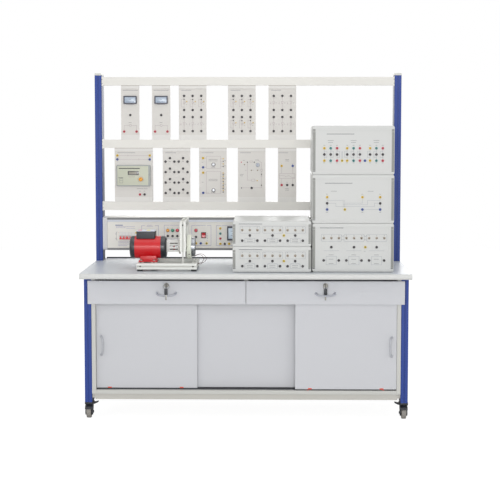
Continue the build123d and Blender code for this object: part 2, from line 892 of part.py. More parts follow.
# Console: a profiled body with a recessed face, between two rounded cheeks
console_top = console_bottom + console_height
console_rear = console_front + console_depth
cheek_inner_x = post_inner_x - console_cheek
rocker_z = console_bottom + rocker_lift
breaker_z = console_bottom + breaker_lift
breaker_face = console_face - breaker_proud
levers_x = breaker_x + breaker_levers_shift
levers_width = breaker_poles * breaker_pole_pitch - 6
drum_y = breaker_face + lever_drum_radius - 2
drum_z = breaker_z
with BuildPart() as console_body:
    with BuildSketch(Plane.YZ.offset(-cheek_inner_x)):
        bevel_top = console_top - console_top_band
        bevel_bottom = bevel_top - console_bevel_height
        with BuildLine():
            Polyline(
                (console_rear, console_bottom),
                (console_front, console_bottom),
                (console_front, console_bottom + console_bottom_band),
                (console_face, console_bottom + console_bottom_band),
                (console_face, bevel_bottom),
                (console_front, bevel_bottom),
                (console_front + console_bevel_depth, bevel_top),
                (console_front + console_bevel_depth, console_top),
                (console_rear, console_top),
                close=True,
            )
        make_face()
    extrude(amount=2 * cheek_inner_x)
    with BuildSketch(Plane.YZ.offset(rocker_x - rocker_width / 2 - rocker_gap)):
        with Locations((console_face, rocker_z)):
            Circle(rocker_radius + rocker_gap)
    extrude(amount=rocker_width + 2 * rocker_gap, mode=Mode.SUBTRACT)
    with BuildSketch(Plane.YZ.offset(levers_x - levers_width / 2 - lever_slot_gap)):
        with Locations((drum_y, drum_z)):
            Circle(lever_drum_radius + lever_slot_gap)
    extrude(amount=levers_width + 2 * lever_slot_gap, mode=Mode.SUBTRACT)
    for side in (-1, 1):
        start = min(side * (cheek_inner_x + seat_gap), side * post_inner_x)
        with BuildSketch(Plane.YZ.offset(start)):
            with Locations((console_front + console_depth / 2, console_bottom + console_height / 2)):
                RectangleRounded(console_depth, console_height, console_cheek_radius)
        extrude(amount=console_cheek - seat_gap)
save(console_body, "console_body")

# Breaker with its ganged levers and a test button
test_button_x = breaker_x + test_button_shift
test_button_z = console_bottom + test_button_lift
with BuildPart() as breaker_body:
    slab(
        (breaker_x - breaker_width / 2, breaker_x + breaker_width / 2),
        (breaker_face, console_face),
        (breaker_z - breaker_height / 2, breaker_z + breaker_height / 2),
    )
    with BuildSketch(Plane.YZ.offset(levers_x - levers_width / 2 - lever_slot_gap)):
        with Locations((drum_y, drum_z)):
            Circle(lever_drum_radius + lever_slot_gap)
    extrude(amount=levers_width + 2 * lever_slot_gap, mode=Mode.SUBTRACT)
    with BuildSketch(front_plane(console_face)):
        with Locations((test_button_x, test_button_z)):
            Circle(test_button_radius + running_gap)
    extrude(amount=2 * breaker_proud, mode=Mode.SUBTRACT)
save(breaker_body, "breaker_body")

with BuildPart() as breaker_lever:
    drum_x = levers_x - levers_width / 2
    bar_y = drum_y - lever_bar_reach
    bar_bottom = drum_z - lever_bar_drop
    bar_top = bar_bottom + lever_bar_thickness
    with BuildSketch(Plane.YZ.offset(drum_x)):
        with Locations((drum_y, drum_z)):
            RegularPolygon(lever_drum_radius, lever_drum_sides)
        with BuildLine():
            Polyline(
                (drum_y - 3, drum_z - 1),
                (drum_y - lever_drum_radius + 1, drum_z - 3),
                (bar_y, bar_top),
                (bar_y, bar_bottom),
                (drum_y - lever_drum_radius + 1.6, drum_z - 4.8),
                close=True,
            )
        make_face()
    extrude(amount=levers_width)
    for pole in range(breaker_poles):
        tooth_x = levers_x + (pole - (breaker_poles - 1) / 2) * breaker_pole_pitch
        slab(
            (tooth_x - lever_tooth_width / 2, tooth_x + lever_tooth_width / 2),
            (bar_y, bar_y + lever_bar_thickness),
            (bar_bottom, bar_bottom + lever_tooth_height),
        )
save(breaker_lever, "breaker_lever")

with BuildPart() as test_button:
    button_back = breaker_face + test_button_proud
    with BuildSketch(front_plane(button_back)):
        with Locations((test_button_x, test_button_z)):
            RegularPolygon(test_button_radius, knob_sides)
    extrude(amount=button_back - breaker_face + test_button_travel + 1)
save(test_button, "test_button")

with BuildPart() as rocker_switch:
    with BuildSketch(Plane.YZ.offset(rocker_x - rocker_width / 2)):
        with BuildLine():
            lean = radians(rocker_tilt)
            valley = Vector(-rocker_rise / 3, 0).rotate(Axis.Z, rocker_tilt)
            crest_high = Vector(-rocker_rise, rocker_radius - 1).rotate(Axis.Z, rocker_tilt)
            crest_low = Vector(-rocker_rise, 1 - rocker_radius).rotate(Axis.Z, rocker_tilt)
            high = Vector(0, rocker_radius).rotate(Axis.Z, rocker_tilt)
            low = Vector(0, -rocker_radius).rotate(Axis.Z, rocker_tilt)
            back = Vector(rocker_radius, 0).rotate(Axis.Z, rocker_tilt)
            spots = [
                (console_face + point.X, rocker_z + point.Y)
                for point in (high, crest_high, valley, crest_low, low)
            ]
            Polyline(*spots)
            ThreePointArc(spots[-1], (console_face + back.X, rocker_z + back.Y), spots[0])
        make_face()
    extrude(amount=rocker_width)
save(rocker_switch, "rocker_switch")

with BuildPart() as console_lamps:
    lamp_z = console_bottom + lamp_lift
    lamp_xs = [phase_lamp_x + step * lamp_pitch for step in (-1, 0, 1)] + [output_x]
    for lamp_x in lamp_xs:
        with BuildSketch(front_plane(console_face)):
            with Locations((lamp_x, lamp_z)):
                RegularPolygon(lamp_radius, small_round_sides)
        extrude(amount=lamp_height)
    chamfer(console_lamps.faces().group_by(Axis.Y)[0].edges(), lamp_edge_chamfer)
save(console_lamps, "console_lamps")


def knob(spot, face, radius):
    """A knob with a flat pointer side, on a shaft that enters its panel."""
    x, z = spot
    with BuildSketch(front_plane(face - seat_gap)) as section:
        with Locations((x, z)):
            RegularPolygon(radius, knob_sides)
        with Locations((x, z + radius)):
            Rectangle(2 * radius, 2 * knob_flat, mode=Mode.SUBTRACT)
    extrude(section.sketch, amount=knob_height)
    with BuildSketch(front_plane(face + knob_shaft_length)) as section:
        with Locations((x, z)):
            Circle(knob_shaft_radius)
    extrude(section.sketch, amount=knob_shaft_length + seat_gap)


knobs = {
    "supply_dial": (dial_spot, module_face - supply_unit_proud, dial_radius),
    "trimmer_upper": (trimmer_spots[0], module_face, trimmer_radius),
    "trimmer_lower": (trimmer_spots[1], module_face, trimmer_radius),
    "gain_dial": (gain_spot, module_face, gain_dial_radius),
}
for name, (spot, face, radius) in knobs.items():
    with BuildPart() as dial:
        knob(spot, face, radius)
    save(dial, name)

# Laboratory sockets, gathered by colour. Each entry is across, height, face and radius.
black, red, yellow, blue, green = [], [], [], [], []


def place_sockets(colour, centre, base, face, spots, radius=socket_radius):
    """Adds sockets at (across, up) from a panel's centre line and lower edge."""
    colour.extend((centre + across, base + up, face, radius) for across, up in spots)


for x in meter_module_xs:
    place_sockets(black, x, upper_opening, module_face, [(0, 133)])
    place_sockets(red, x, upper_opening, module_face, [(-33.5, 44), (33.5, 44)])

device_pitch = 46.5
first_device_row = 46.5
second_device_row = first_device_row + 2 * grid_unit
third_device_row = second_device_row + grid_unit
fourth_device_row = third_device_row + 2 * grid_unit
gate_rows = {
    thyristor_module_x: [fourth_device_row],
    transistor_module_x: [fourth_device_row, second_device_row],
    diode_module_x: [],
}
for x, gated in gate_rows.items():
    for column in (-1, 0, 1):
        across = column * device_pitch
        rows = (first_device_row, second_device_row, third_device_row, fourth_device_row)
        place_sockets(black, x, upper_opening, module_face, [(across, row) for row in rows])
        for row in gated:
            gate = [(across, row - half_unit)]
            place_sockets(black, x, upper_opening, module_face, gate, small_socket_radius)
            cathode = [(across + 14, row - 30.5)]
            place_sockets(yellow, x, upper_opening, module_face, cathode, small_socket_radius)

place_sockets(yellow, supply_module_x, lower_opening, module_face, [(-87, 252), (89, 252)])
place_sockets(blue, supply_module_x, lower_opening, module_face, [(-87, 231), (89, 231)])
place_sockets(red, supply_module_x, lower_opening, module_face, [(35, 40)])
place_sockets(black, supply_module_x, lower_opening, module_face, [(60, 40)])

for row in range(4):
    high = 67 + row * 3 * half_unit
    spots = [(across, high) for across in (-35.7, 35.7)]
    spots += [(across, high - half_unit) for across in (-59.6, -11.9, 11.9, 59.6)]
    place_sockets(black, junction_module_x, lower_opening, module_face, spots)

place_sockets(yellow, trigger_module_x, lower_opening, module_face, [(-53, 238), (-53, 159)])
place_sockets(blue, trigger_module_x, lower_opening, module_face, [(-53, 188), (-53, 49)])
pulse_rows = [235 - 14.2 * step for step in range(4)] + [157 - 9.4 * step for step in range(12)]
for step, up in enumerate(pulse_rows):
    colour = black if step % 2 else yellow
    place_sockets(colour, trigger_module_x, lower_opening, module_face, [(56, up)], small_socket_radius)

driver_black = [(-23, 216), (14, 216), (53, 150), (53, 91), (-55, 76)]
place_sockets(black, driver_module_x, lower_opening, module_face, [(0, 76)])
small = small_socket_radius
place_sockets(black, driver_module_x, lower_opening, module_face, driver_black, small)
place_sockets(red, driver_module_x, lower_opening, module_face, [(-56, 216)], small)
place_sockets(yellow, driver_module_x, lower_opening, module_face, [(30, 116)], small)

place_sockets(yellow, converter_module_x, lower_opening, module_face, [(-30, 196)])
place_sockets(blue, converter_module_x, lower_opening, module_face, [(30, 196)])
place_sockets(red, converter_module_x, lower_opening, module_face, [(-30, 92)])
place_sockets(black, converter_module_x, lower_opening, module_face, [(0, 92), (30, 92)])

phase_spots = [(step * lamp_pitch, 77) for step in (-1, 0, 1)]
place_sockets(black, phase_lamp_x, console_bottom, console_face, phase_spots)
place_sockets(black, output_x, console_bottom, console_face, [(0, 72), (157, 35)])
place_sockets(yellow, output_x, console_bottom, console_face, [(0, 37), (58, 37)])
place_sockets(blue, output_x, console_bottom, console_face, [(26, 37)])
place_sockets(yellow, meter_sockets_x, console_bottom, console_face, [(0, 119), (0, 35), (48, 35)])
place_sockets(green, meter_sockets_x, console_bottom, console_face, [(0, 91)])
place_sockets(red, meter_sockets_x, console_bottom, console_face, [(0, 64)])

winding_pitch = 31.8
winding_group_pitch = 114.3
winding_rows = (69, 100, 131)
top_case = (large_case_x, large_case_bottoms[2], large_case_face)
for group in (-1, 0, 1):
    for step, colour in zip((-1, 0, 1), (yellow, green, red)):
        across = group * winding_group_pitch + step * winding_pitch
        place_sockets(colour, *top_case, [(across, winding_rows[0]), (across, winding_rows[2])])
        place_sockets(black, *top_case, [(across, winding_rows[1])])
place_sockets(yellow, *top_case, [(-winding_group_pitch / 2, winding_rows[0])])
place_sockets(blue, *top_case, [(winding_group_pitch / 2, winding_rows[0])])

middle_case = (large_case_x, large_case_bottoms[1], large_case_face)
place_sockets(yellow, *middle_case, [(-131, 131), (46, 131), (135, 131), (-42, 69)])
place_sockets(black, *middle_case, [(-131, 100), (135, 100)])
place_sockets(blue, *middle_case, [(-131, 69), (46, 69), (135, 69)])


def switched_case_sockets(case, upper, lower):
    """Sockets of three switched groups: one above and two below in each."""
    for group in (-3, 0, 3):
        place_sockets(black, *case, [(group * grid_unit, upper)])
        place_sockets(black, *case, [((group + end) * grid_unit, lower) for end in (-1, 1)])
    place_sockets(yellow, *case, [(1.5 * grid_unit, upper)])


switched_case_sockets((large_case_x + large_column_shift, large_case_bottoms[0], large_case_face), 124, 57)
for bottom in low_case_bottoms:
    switched_case_sockets((low_case_x + low_column_shift, bottom, low_case_face), 55, 29)

socket_nodes = {
    "sockets_black": black,
    "sockets_red": red,
    "sockets_yellow": yellow,
    "sockets_blue": blue,
    "sockets_green": green,
}
for name, entries in socket_nodes.items():
    with BuildPart() as sockets:
        for face, radius in sorted({(entry[2], entry[3]) for entry in entries}):
            spots = [(x, z) for x, z, y, size in entries if (y, size) == (face, radius)]
            with BuildSketch(front_plane(face)):
                with Locations(*spots):
                    RegularPolygon(radius, socket_sides if radius > grid_unit / 8 else small_socket_sides)
            extrude(amount=socket_height)
    save(sockets, name)


# Instrument cases: rounded bodies on feet, a recessed panel and a bar down each side
def instrument_case(x, bottom, width, height, front):
    """One case body, with notches for its side bars and four feet."""
    with BuildSketch(front_plane(front + case_depth)) as section:
        with Locations((x, bottom + height / 2)):
            RectangleRounded(width, height, case_corner_radius)
    extrude(section.sketch, amount=case_depth)
    panel_x = (x - width / 2 + case_panel_side_margin, x + width / 2 - case_panel_side_margin)
    slab(
        panel_x,
        (front - 1, front + case_panel_recess),
        (bottom + case_lip, bottom + height - case_lip),
        Mode.SUBTRACT,
    )
    for side in (-1, 1):
        notch_x = sorted(
            (
                x + side * (width / 2 + 1),
                x + side * (width / 2 - case_bar_inset - case_bar_width - seat_gap),
            )
        )
        notch_z = (bottom + case_bar_end_margin, bottom + height - case_bar_end_margin)
        slab(notch_x, (front - 1, front + case_bar_depth), notch_z, Mode.SUBTRACT)
        for foot_y in (front + case_foot_inset, front + case_depth - case_foot_inset):
            foot_x = x + side * (width / 2 - case_foot_inset)
            with BuildSketch(Plane.XY.offset(bottom - case_foot_height + seat_gap)) as section:
                with Locations((foot_x, foot_y)):
                    RegularPolygon(case_foot_radius, socket_sides)
            extrude(section.sketch, amount=case_foot_height - seat_gap)


def case_bars(x, bottom, width, height, front):
    """The two grey side bars of one case, in its notches."""
    length = height - 2 * case_bar_end_margin - 2 * seat_gap
    for side in (-1, 1):
        middle = x + side * (width / 2 - case_bar_inset - case_bar_width / 2)
        with BuildSketch(Plane.XY.offset(bottom + case_bar_end_margin + seat_gap)) as section:
            with Locations((middle, front + case_bar_depth / 2 - seat_gap)):
                Rectangle(case_bar_width, case_bar_depth)
            chamfer(section.vertices(), case_bar_corner)
        extrude(section.sketch, amount=length)


large_cases = [
    (large_case_x, bottom, large_case_width, large_case_height, large_case_front)
    for bottom in large_case_bottoms
]
low_cases = [
    (low_case_x, bottom, low_case_width, low_case_height, low_case_front)
    for bottom in low_case_bottoms
]
with BuildPart() as instrument_cases:
    for case in large_cases + low_cases:
        instrument_case(*case)
save(instrument_cases, "instrument_cases")

with BuildPart() as case_side_bars:
    for case in large_cases + low_cases:
        case_bars(*case)
save(case_side_bars, "case_side_bars")


# Toggle levers: the nine of one case stand on one line
def toggle_row(centre_x, z, face):
    """Nine levers that point to the user and lean down from a shared line."""
    pivot_y = face - toggle_ball_radius - seat_gap
    for column in range(toggle_columns):
        x = centre_x + (column - (toggle_columns - 1) / 2) * grid_unit
        root = Plane(
            origin=(x, pivot_y, z),
            x_dir=(1, 0, 0),
            z_dir=(0, -cos(radians(toggle_rest_angle)), -sin(radians(toggle_rest_angle))),
        )
        with BuildSketch(root) as root_section:
            RegularPolygon(toggle_root_radius, toggle_sides)
        with BuildSketch(root.offset(toggle_length)) as tip_section:
            RegularPolygon(toggle_tip_radius, toggle_sides)
        loft([root_section.sketch, tip_section.sketch])
        with BuildSketch(Plane.YZ.offset(x - toggle_ball_radius)) as section:
            with Locations((pivot_y, z)):
                RegularPolygon(toggle_ball_radius, toggle_sides)
        extrude(section.sketch, amount=2 * toggle_ball_radius)


toggle_rows = {
    "toggles_large_case": (
        large_case_x + large_column_shift,
        large_case_bottoms[0] + large_toggle_lift,
        large_case_face,
    ),
    "toggles_low_case_bottom": (
        low_case_x + low_column_shift,
        low_case_bottoms[0] + low_toggle_lift,
        low_case_face,
    ),
    "toggles_low_case_top": (
        low_case_x + low_column_shift,
        low_case_bottoms[1] + low_toggle_lift,
        low_case_face,
    ),
}
for name, row in toggle_rows.items():
    with BuildPart() as toggles:
        toggle_row(*row)
    save(toggles, name)


# Motor and brake rig: a frame of slotted aluminium profile
def slotted_section(centre):
    """The square profile's section, with a slot in each side."""
    half = profile_size / 2
    with Locations(centre):
        Rectangle(profile_size, profile_size)
    for across, up in ((half, 0), (-half, 0), (0, half), (0, -half)):
        deep = 2 * profile_slot_depth
        width = deep if across else profile_slot_width
        height = profile_slot_width if across else deep
        with Locations((centre[0] + across, centre[1] + up)):
            Rectangle(width, height, mode=Mode.SUBTRACT)


def bar_along_x(span, y, z):
    """A profile bar along X between two limits, centred at y and z."""
    with BuildSketch(Plane.YZ.offset(span[0])) as section:
        slotted_section((y, z))
    extrude(section.sketch, amount=span[1] - span[0])


def bar_along_y(x, span, z):
    """A profile bar along Y between two limits, centred at x and z."""
    with BuildSketch(front_plane(span[1])) as section:
        slotted_section((x, z))
    extrude(section.sketch, amount=span[1] - span[0])


half_profile = profile_size / 2
rig_front_y = rig_front + half_profile
rig_rear_y = rig_rear - half_profile
between_bars = (rig_front + profile_size + seat_gap, rig_rear - profile_size - seat_gap)
bar_z = rig_bottom + half_profile
column_top = rig_top + rig_column_height
with BuildPart() as rig_frame:
    for bar_y in (rig_front_y, rig_rear_y):
        bar_along_x((rig_left, rig_right), bar_y, bar_z)
    for bar_x in (rig_left + half_profile, motor_cross_bar_x, rig_right - half_profile):
        bar_along_y(bar_x, between_bars, bar_z)
    for foot_x in (rig_left + rig_foot_inset, rig_right - rig_foot_inset):
        for foot_y in (rig_front_y, rig_rear_y):
            with BuildSketch(Plane.XY.offset(worktop_height)):
                with Locations((foot_x, foot_y)):
                    RegularPolygon(rig_foot_radius, rig_foot_sides)
            extrude(amount=rig_foot_height - seat_gap)
    for column_y in (rig_front_y, rig_rear_y):
        with BuildSketch(Plane.XY.offset(rig_top + seat_gap)) as section:
            slotted_section((rig_column_x, column_y))
        extrude(section.sketch, amount=rig_column_height - seat_gap)
    bar_along_y(rig_column_x, between_bars, column_top - half_profile)
    bar_along_y(rig_column_x, between_bars, shaft_z)
    with BuildSketch(Plane.YZ.offset(rig_column_x - profile_size)):
        with Locations((shaft_y, shaft_z)):
            Circle(shaft_radius + 1)
    extrude(amount=2 * profile_size, mode=Mode.SUBTRACT)
save(rig_frame, "rig_frame")


def shaft_disc(x, length, radius):
    """A cylinder along X on the shaft's line, from x on."""
    with BuildSketch(Plane.YZ.offset(x)) as section:
        with Locations((shaft_y, shaft_z)):
            Circle(radius)
    extrude(section.sketch, amount=length)


def faceted_disc(x, length, radius, corner, ends):
    """A many-sided disc along X on the shaft's line, with a chamfer at the named ends."""
    with BuildSketch(Plane.YZ.offset(x)) as section:
        with Locations((shaft_y, shaft_z)):
            RegularPolygon(radius, round_sides)
    extrude(section.sketch, amount=length)
    for end in ends:
        rim = Vector(x + (length if end > 0 else 0), shaft_y, shaft_z)
        face = faces().filter_by(Axis.X).sort_by_distance(rim)[0]
        chamfer(face.outer_wire().edges(), corner)


with BuildPart() as motor_body:
    shaft_disc(barrel_left, barrel_right - barrel_left, barrel_radius)
    pedestal_top = shaft_z - barrel_radius * 0.8
    slab(
        (motor_foot_x - motor_pedestal_width / 2, motor_foot_x + motor_pedestal_width / 2),
        (shaft_y - motor_pedestal_depth / 2, shaft_y + motor_pedestal_depth / 2),
        (rig_top, pedestal_top),
    )
    slab(
        (motor_foot_x - motor_foot_width / 2, motor_foot_x + motor_foot_width / 2),
        (shaft_y - motor_foot_depth / 2, shaft_y + motor_foot_depth / 2),
        (rig_top, rig_top + motor_foot_thickness),
    )
save(motor_body, "motor_body")

bell_end = barrel_right + right_bell_length
with BuildPart() as motor_end_bells:
    faceted_disc(barrel_left - left_bell_length, left_bell_length, bell_radius, bell_edge_chamfer, [-1])
    faceted_disc(barrel_right, right_bell_length, bell_radius, bell_edge_chamfer, [1])
    with BuildSketch(Plane.YZ.offset(bell_end - shaft_in_bell - 1)):
        with Locations((shaft_y, shaft_z)):
            Circle(shaft_radius + running_gap)
    extrude(amount=shaft_in_bell + 2, mode=Mode.SUBTRACT)
save(motor_end_bells, "motor_end_bells")

with BuildPart() as motor_terminal_box:
    slab(
        (terminal_box_x - terminal_box_width / 2, terminal_box_x + terminal_box_width / 2),
        (shaft_y - terminal_box_depth / 2, shaft_y + terminal_box_depth / 2),
        (shaft_z + terminal_box_bottom, shaft_z + terminal_box_top),
    )
    fillet(motor_terminal_box.edges().filter_by(Axis.Z), terminal_box_edge_radius)
    with BuildSketch(Plane.YZ.offset(terminal_box_x - terminal_box_width)):
        with Locations((shaft_y, shaft_z)):
            Circle(barrel_radius + seat_gap)
    extrude(amount=2 * terminal_box_width, mode=Mode.SUBTRACT)
save(motor_terminal_box, "motor_terminal_box")

guard_left = bell_end + seat_gap
guard_right = rig_column_x - half_profile - seat_gap
guard_middle_x = (guard_left + guard_right) / 2
guard_middle_z = shaft_z + guard_shift
with BuildPart() as coupling_guard:
    with BuildSketch(Plane.YZ.offset(guard_left)):
        with Locations((shaft_y, guard_middle_z)):
            Rectangle(guard_depth, guard_height)
            Rectangle(
                guard_depth - 2 * guard_wall,
                guard_height - 2 * guard_wall,
                mode=Mode.SUBTRACT,
            )
    extrude(amount=guard_right - guard_left)
    with BuildSketch(front_plane(shaft_y + guard_depth)):
        for slot in range(guard_slot_count):
            slot_z = guard_middle_z + (slot - (guard_slot_count - 1) / 2) * guard_slot_pitch
            with Locations((guard_middle_x, slot_z)):
                Rectangle(guard_slot_length, guard_slot_height)
    extrude(amount=2 * guard_depth, mode=Mode.SUBTRACT)
save(coupling_guard, "coupling_guard")

# Rotor: shaft, two coupling hubs with three jaws each, and the shaft end in the brake
brake_left = rig_column_x + half_profile + seat_gap
coupling_left = guard_middle_x - coupling_gap / 2 - coupling_hub_length
with BuildPart() as rotor_shaft:
    shaft_start = bell_end - shaft_in_bell
    shaft_disc(shaft_start, brake_left + shaft_in_brake - shaft_start, shaft_radius)
    for hub_x in (coupling_left, coupling_left + coupling_hub_length + coupling_gap):
        shaft_disc(hub_x, coupling_hub_length, coupling_radius)
    jaw_plane = Plane.YZ.offset(coupling_left + coupling_hub_length)
    with BuildSketch(jaw_plane):
        with Locations((shaft_y, shaft_z)):
            with PolarLocations(coupling_radius - coupling_jaw_depth / 2, coupling_jaw_count):
                Rectangle(coupling_jaw_depth, coupling_jaw_width)
            Circle(coupling_radius, mode=Mode.INTERSECT)
    extrude(amount=coupling_gap)
save(rotor_shaft, "rotor_shaft")

with BuildPart() as brake_housing:
    faceted_disc(brake_left, brake_disc_length, brake_disc_radius, brake_edge_chamfer, [-1, 1])
    ring_left = brake_left + brake_disc_length
    faceted_disc(ring_left, brake_ring_length, brake_ring_radius, brake_edge_chamfer, [1])
    with BuildSketch(Plane.YZ.offset(brake_left - 1)):
        with Locations((shaft_y, shaft_z)):
            Circle(shaft_radius + running_gap)
    extrude(amount=shaft_in_brake + 2, mode=Mode.SUBTRACT)
save(brake_housing, "brake_housing")

# Two thin leads loop from the brake's end cover to the right end bar of the base.
ring_face = brake_left + brake_disc_length + brake_ring_length
lead_routes = {
    "outer": [
        (ring_face, -176, 838),
        (-251, -178, 845),
        (-238, -181, 849),
        (-223, -184, 847),
        (-210, -187, 838),
        (-203, -190, 825),
        (-208, -192, 813),
        (-221, -193, 804),
        (-235, -193, 798),
        (rig_right, -192, 796),
    ],
    "inner": [
        (ring_face, -168, 836),
        (-252, -169, 841),
        (-241, -171, 843),
        (-229, -173, 840),
        (-221, -175, 831),
        (-219, -178, 819),
        (-224, -180, 808),
        (-235, -181, 801),
        (rig_right, -181, 798),
    ],
}


def bend_radii(points):
    """The widest arc at each inner point of a route: 0.45 of the shorter run,
    divided by the tangent of half the turn."""
    runs = [Vector(*b) - Vector(*a) for a, b in zip(points, points[1:])]
    return [
        0.45 * min(a.length, b.length) / tan(radians(a.get_angle(b) / 2))
        for a, b in zip(runs, runs[1:])
    ]


with BuildPart() as brake_leads:
    for name, points in lead_routes.items():
        radii = bend_radii(points)
        print(name, "lead, bend radii:", [round(radius, 1) for radius in radii])
        with BuildLine():
            lead = FilletPolyline(*points, radius=radii)
        with BuildSketch(Plane(origin=points[0], z_dir=lead % 0)):
            RegularPolygon(lead_radius, lead_sides)
        sweep(path=lead)
        print(name, "lead, length:", round(lead.length, 1))
save(brake_leads, "brake_leads")
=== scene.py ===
import bpy
import numpy as np
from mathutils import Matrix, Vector


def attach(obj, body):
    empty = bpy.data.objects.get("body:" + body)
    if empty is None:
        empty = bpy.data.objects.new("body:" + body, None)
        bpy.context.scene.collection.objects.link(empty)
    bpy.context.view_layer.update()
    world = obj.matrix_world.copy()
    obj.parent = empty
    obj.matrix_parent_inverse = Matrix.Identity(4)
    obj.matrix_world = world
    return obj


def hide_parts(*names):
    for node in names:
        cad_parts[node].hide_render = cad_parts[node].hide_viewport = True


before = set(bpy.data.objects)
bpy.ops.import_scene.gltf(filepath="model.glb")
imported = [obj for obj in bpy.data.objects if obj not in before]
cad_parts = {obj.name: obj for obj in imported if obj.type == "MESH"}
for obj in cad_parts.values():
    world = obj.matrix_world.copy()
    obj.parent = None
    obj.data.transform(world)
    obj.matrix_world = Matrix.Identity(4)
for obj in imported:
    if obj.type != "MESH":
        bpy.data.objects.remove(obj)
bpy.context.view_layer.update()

# Room: a pale seamless floor in a white surround. Wide soft lamps stand to the left, to
# the right, above and behind, and two more in front, one by the camera and one low. The
# camera looks on from head height, a little from the right of the middle.
def feed(tree, target, values):
    """Sets inputs of a node, by name or number. A socket is linked to the input, and
    anything else is its value."""
    for key, value in values.items():
        if isinstance(value, bpy.types.NodeSocket):
            tree.links.new(value, target.inputs[key])
        else:
            target.inputs[key].default_value = value


def added(tree, kind, values, **settings):
    """The outputs of a new shader node with some settings and inputs."""
    made = tree.nodes.new(f"ShaderNode{kind}")
    for setting, value in settings.items():
        setattr(made, setting, value)
    feed(tree, made, values)
    return made.outputs


def sums(tree, operation, *values):
    """The output of a Math node whose inputs are numbers or linked sockets."""
    return added(tree, "Math", dict(enumerate(values)), operation=operation)[0]


surround_light, floor_half, floor_glow, glow_share = 0.45, 9.0, 1.3, 0.7
world = bpy.data.worlds.new("studio surround")
bpy.context.scene.world = world
world.use_nodes = True
tree = world.node_tree
tree.nodes.clear()
rays = added(tree, "LightPath", {})
seen = sums(tree, "MAXIMUM", rays["Is Camera Ray"], rays["Is Glossy Ray"])
seen = sums(tree, "MAXIMUM", seen, rays["Is Transmission Ray"])
dim, bright = (added(tree, "Background", {"Color": (1, 1, 1, 1), "Strength": strength})[0]
               for strength in (surround_light, 1))
either = added(tree, "MixShader", {0: seen, 1: dim, 2: bright})[0]
added(tree, "OutputWorld", {"Surface": either})

mesh = bpy.data.meshes.new("studio_floor")
floor_corners = [(-1, -1, 0), (1, -1, 0), (1, 1, 0), (-1, 1, 0)]
mesh.from_pydata(np.array(floor_corners) * floor_half, [], [(0, 1, 2, 3)])
floor = bpy.data.objects.new("studio_floor", mesh)
bpy.context.collection.objects.link(floor)
material = bpy.data.materials.new("studio floor")
material.use_nodes = True
tree = material.node_tree
shade = tree.nodes["Principled BSDF"]
feed(tree, shade, {"Base Color": (0.86, 0.86, 0.86, 1), "Roughness": 0.9})
glow = added(tree, "Emission", {"Strength": floor_glow})[0]
share = sums(tree, "MULTIPLY", added(tree, "LightPath", {})["Is Camera Ray"], glow_share)
either = added(tree, "MixShader", {0: share, 1: shade.outputs[0], 2: glow})[0]
feed(tree, tree.nodes["Material Output"], {"Surface": either})
mesh.materials.append(material)

lamps = {
    "left": ((-3.6, -4.6, 3.0), (4.0, 3.0), 32.0),
    "right": ((3.8, -5.0, 2.6), (4.0, 3.0), 26.0),
    "top": ((0.2, -0.6, 4.6), (4.0, 4.0), 46.0),
    "front": ((0.1, -7.4, 1.9), (3.0, 1.6), 110.0),
    "low": ((0.0, -4.2, 0.32), (3.4, 0.4), 12.0),
    "back": ((0.6, 5.4, 2.7), (4.0, 3.0), 80.0),
}
for name, (place, size, power) in lamps.items():
    light = bpy.data.lights.new(f"{name} lamp", "AREA")
    light.shape = "RECTANGLE"
    light.size, light.size_y = size
    light.energy = power
    lamp = bpy.data.objects.new(f"{name} lamp", light)
    lamp.location = place
    lamp.visible_camera = False
    aim = Vector((0.0, 0.0, 0.95)) - lamp.location
    lamp.rotation_euler = aim.to_track_quat("-Z", "Y").to_euler()
    bpy.context.collection.objects.link(lamp)

camera_data = bpy.data.cameras.new("camera")
camera_data.lens, camera_data.sensor_width, camera_data.shift_y = 97.6, 36.0, -0.030
camera = bpy.data.objects.new("camera", camera_data)
camera.location = (0.137, -7.111, 1.515)
camera.rotation_euler = Vector((-0.0169, 0.9965, -0.0819)).to_track_quat("-Z", "Y").to_euler()
bpy.context.collection.objects.link(camera)
bpy.context.scene.camera = camera
bpy.context.scene.view_settings.view_transform = "Standard"


# Leads of the brake: two thin limp wires in red sleeves. They leave the end cover of
# the brake, bow forward over the base frame and go back into its right end bar.
def paint(red, green, blue):
    """The linear colour of an sRGB triple of 0 to 255: each channel over 12.92 where
    it is under 0.04, and elsewhere (c + 0.055) / 1.055 to the power 2.4."""
    srgb = np.array([red, green, blue]) / 255
    linear = np.where(srgb <= 0.04045, srgb / 12.92, ((srgb + 0.055) / 1.055) ** 2.4)
    return (*linear.tolist(), 1.0)


def effect(name, inputs, outputs):
    """An empty node group with named sockets, with its input and output nodes."""
    group = bpy.data.node_groups.new(name, "ShaderNodeTree")
    for socket, kind in inputs.items():
        group.interface.new_socket(name=socket, in_out="INPUT", socket_type=kind)
    for socket, kind in outputs.items():
        group.interface.new_socket(name=socket, in_out="OUTPUT", socket_type=kind)
    given, result = group.nodes.new("NodeGroupInput"), group.nodes.new("NodeGroupOutput")
    return group, given.outputs, result


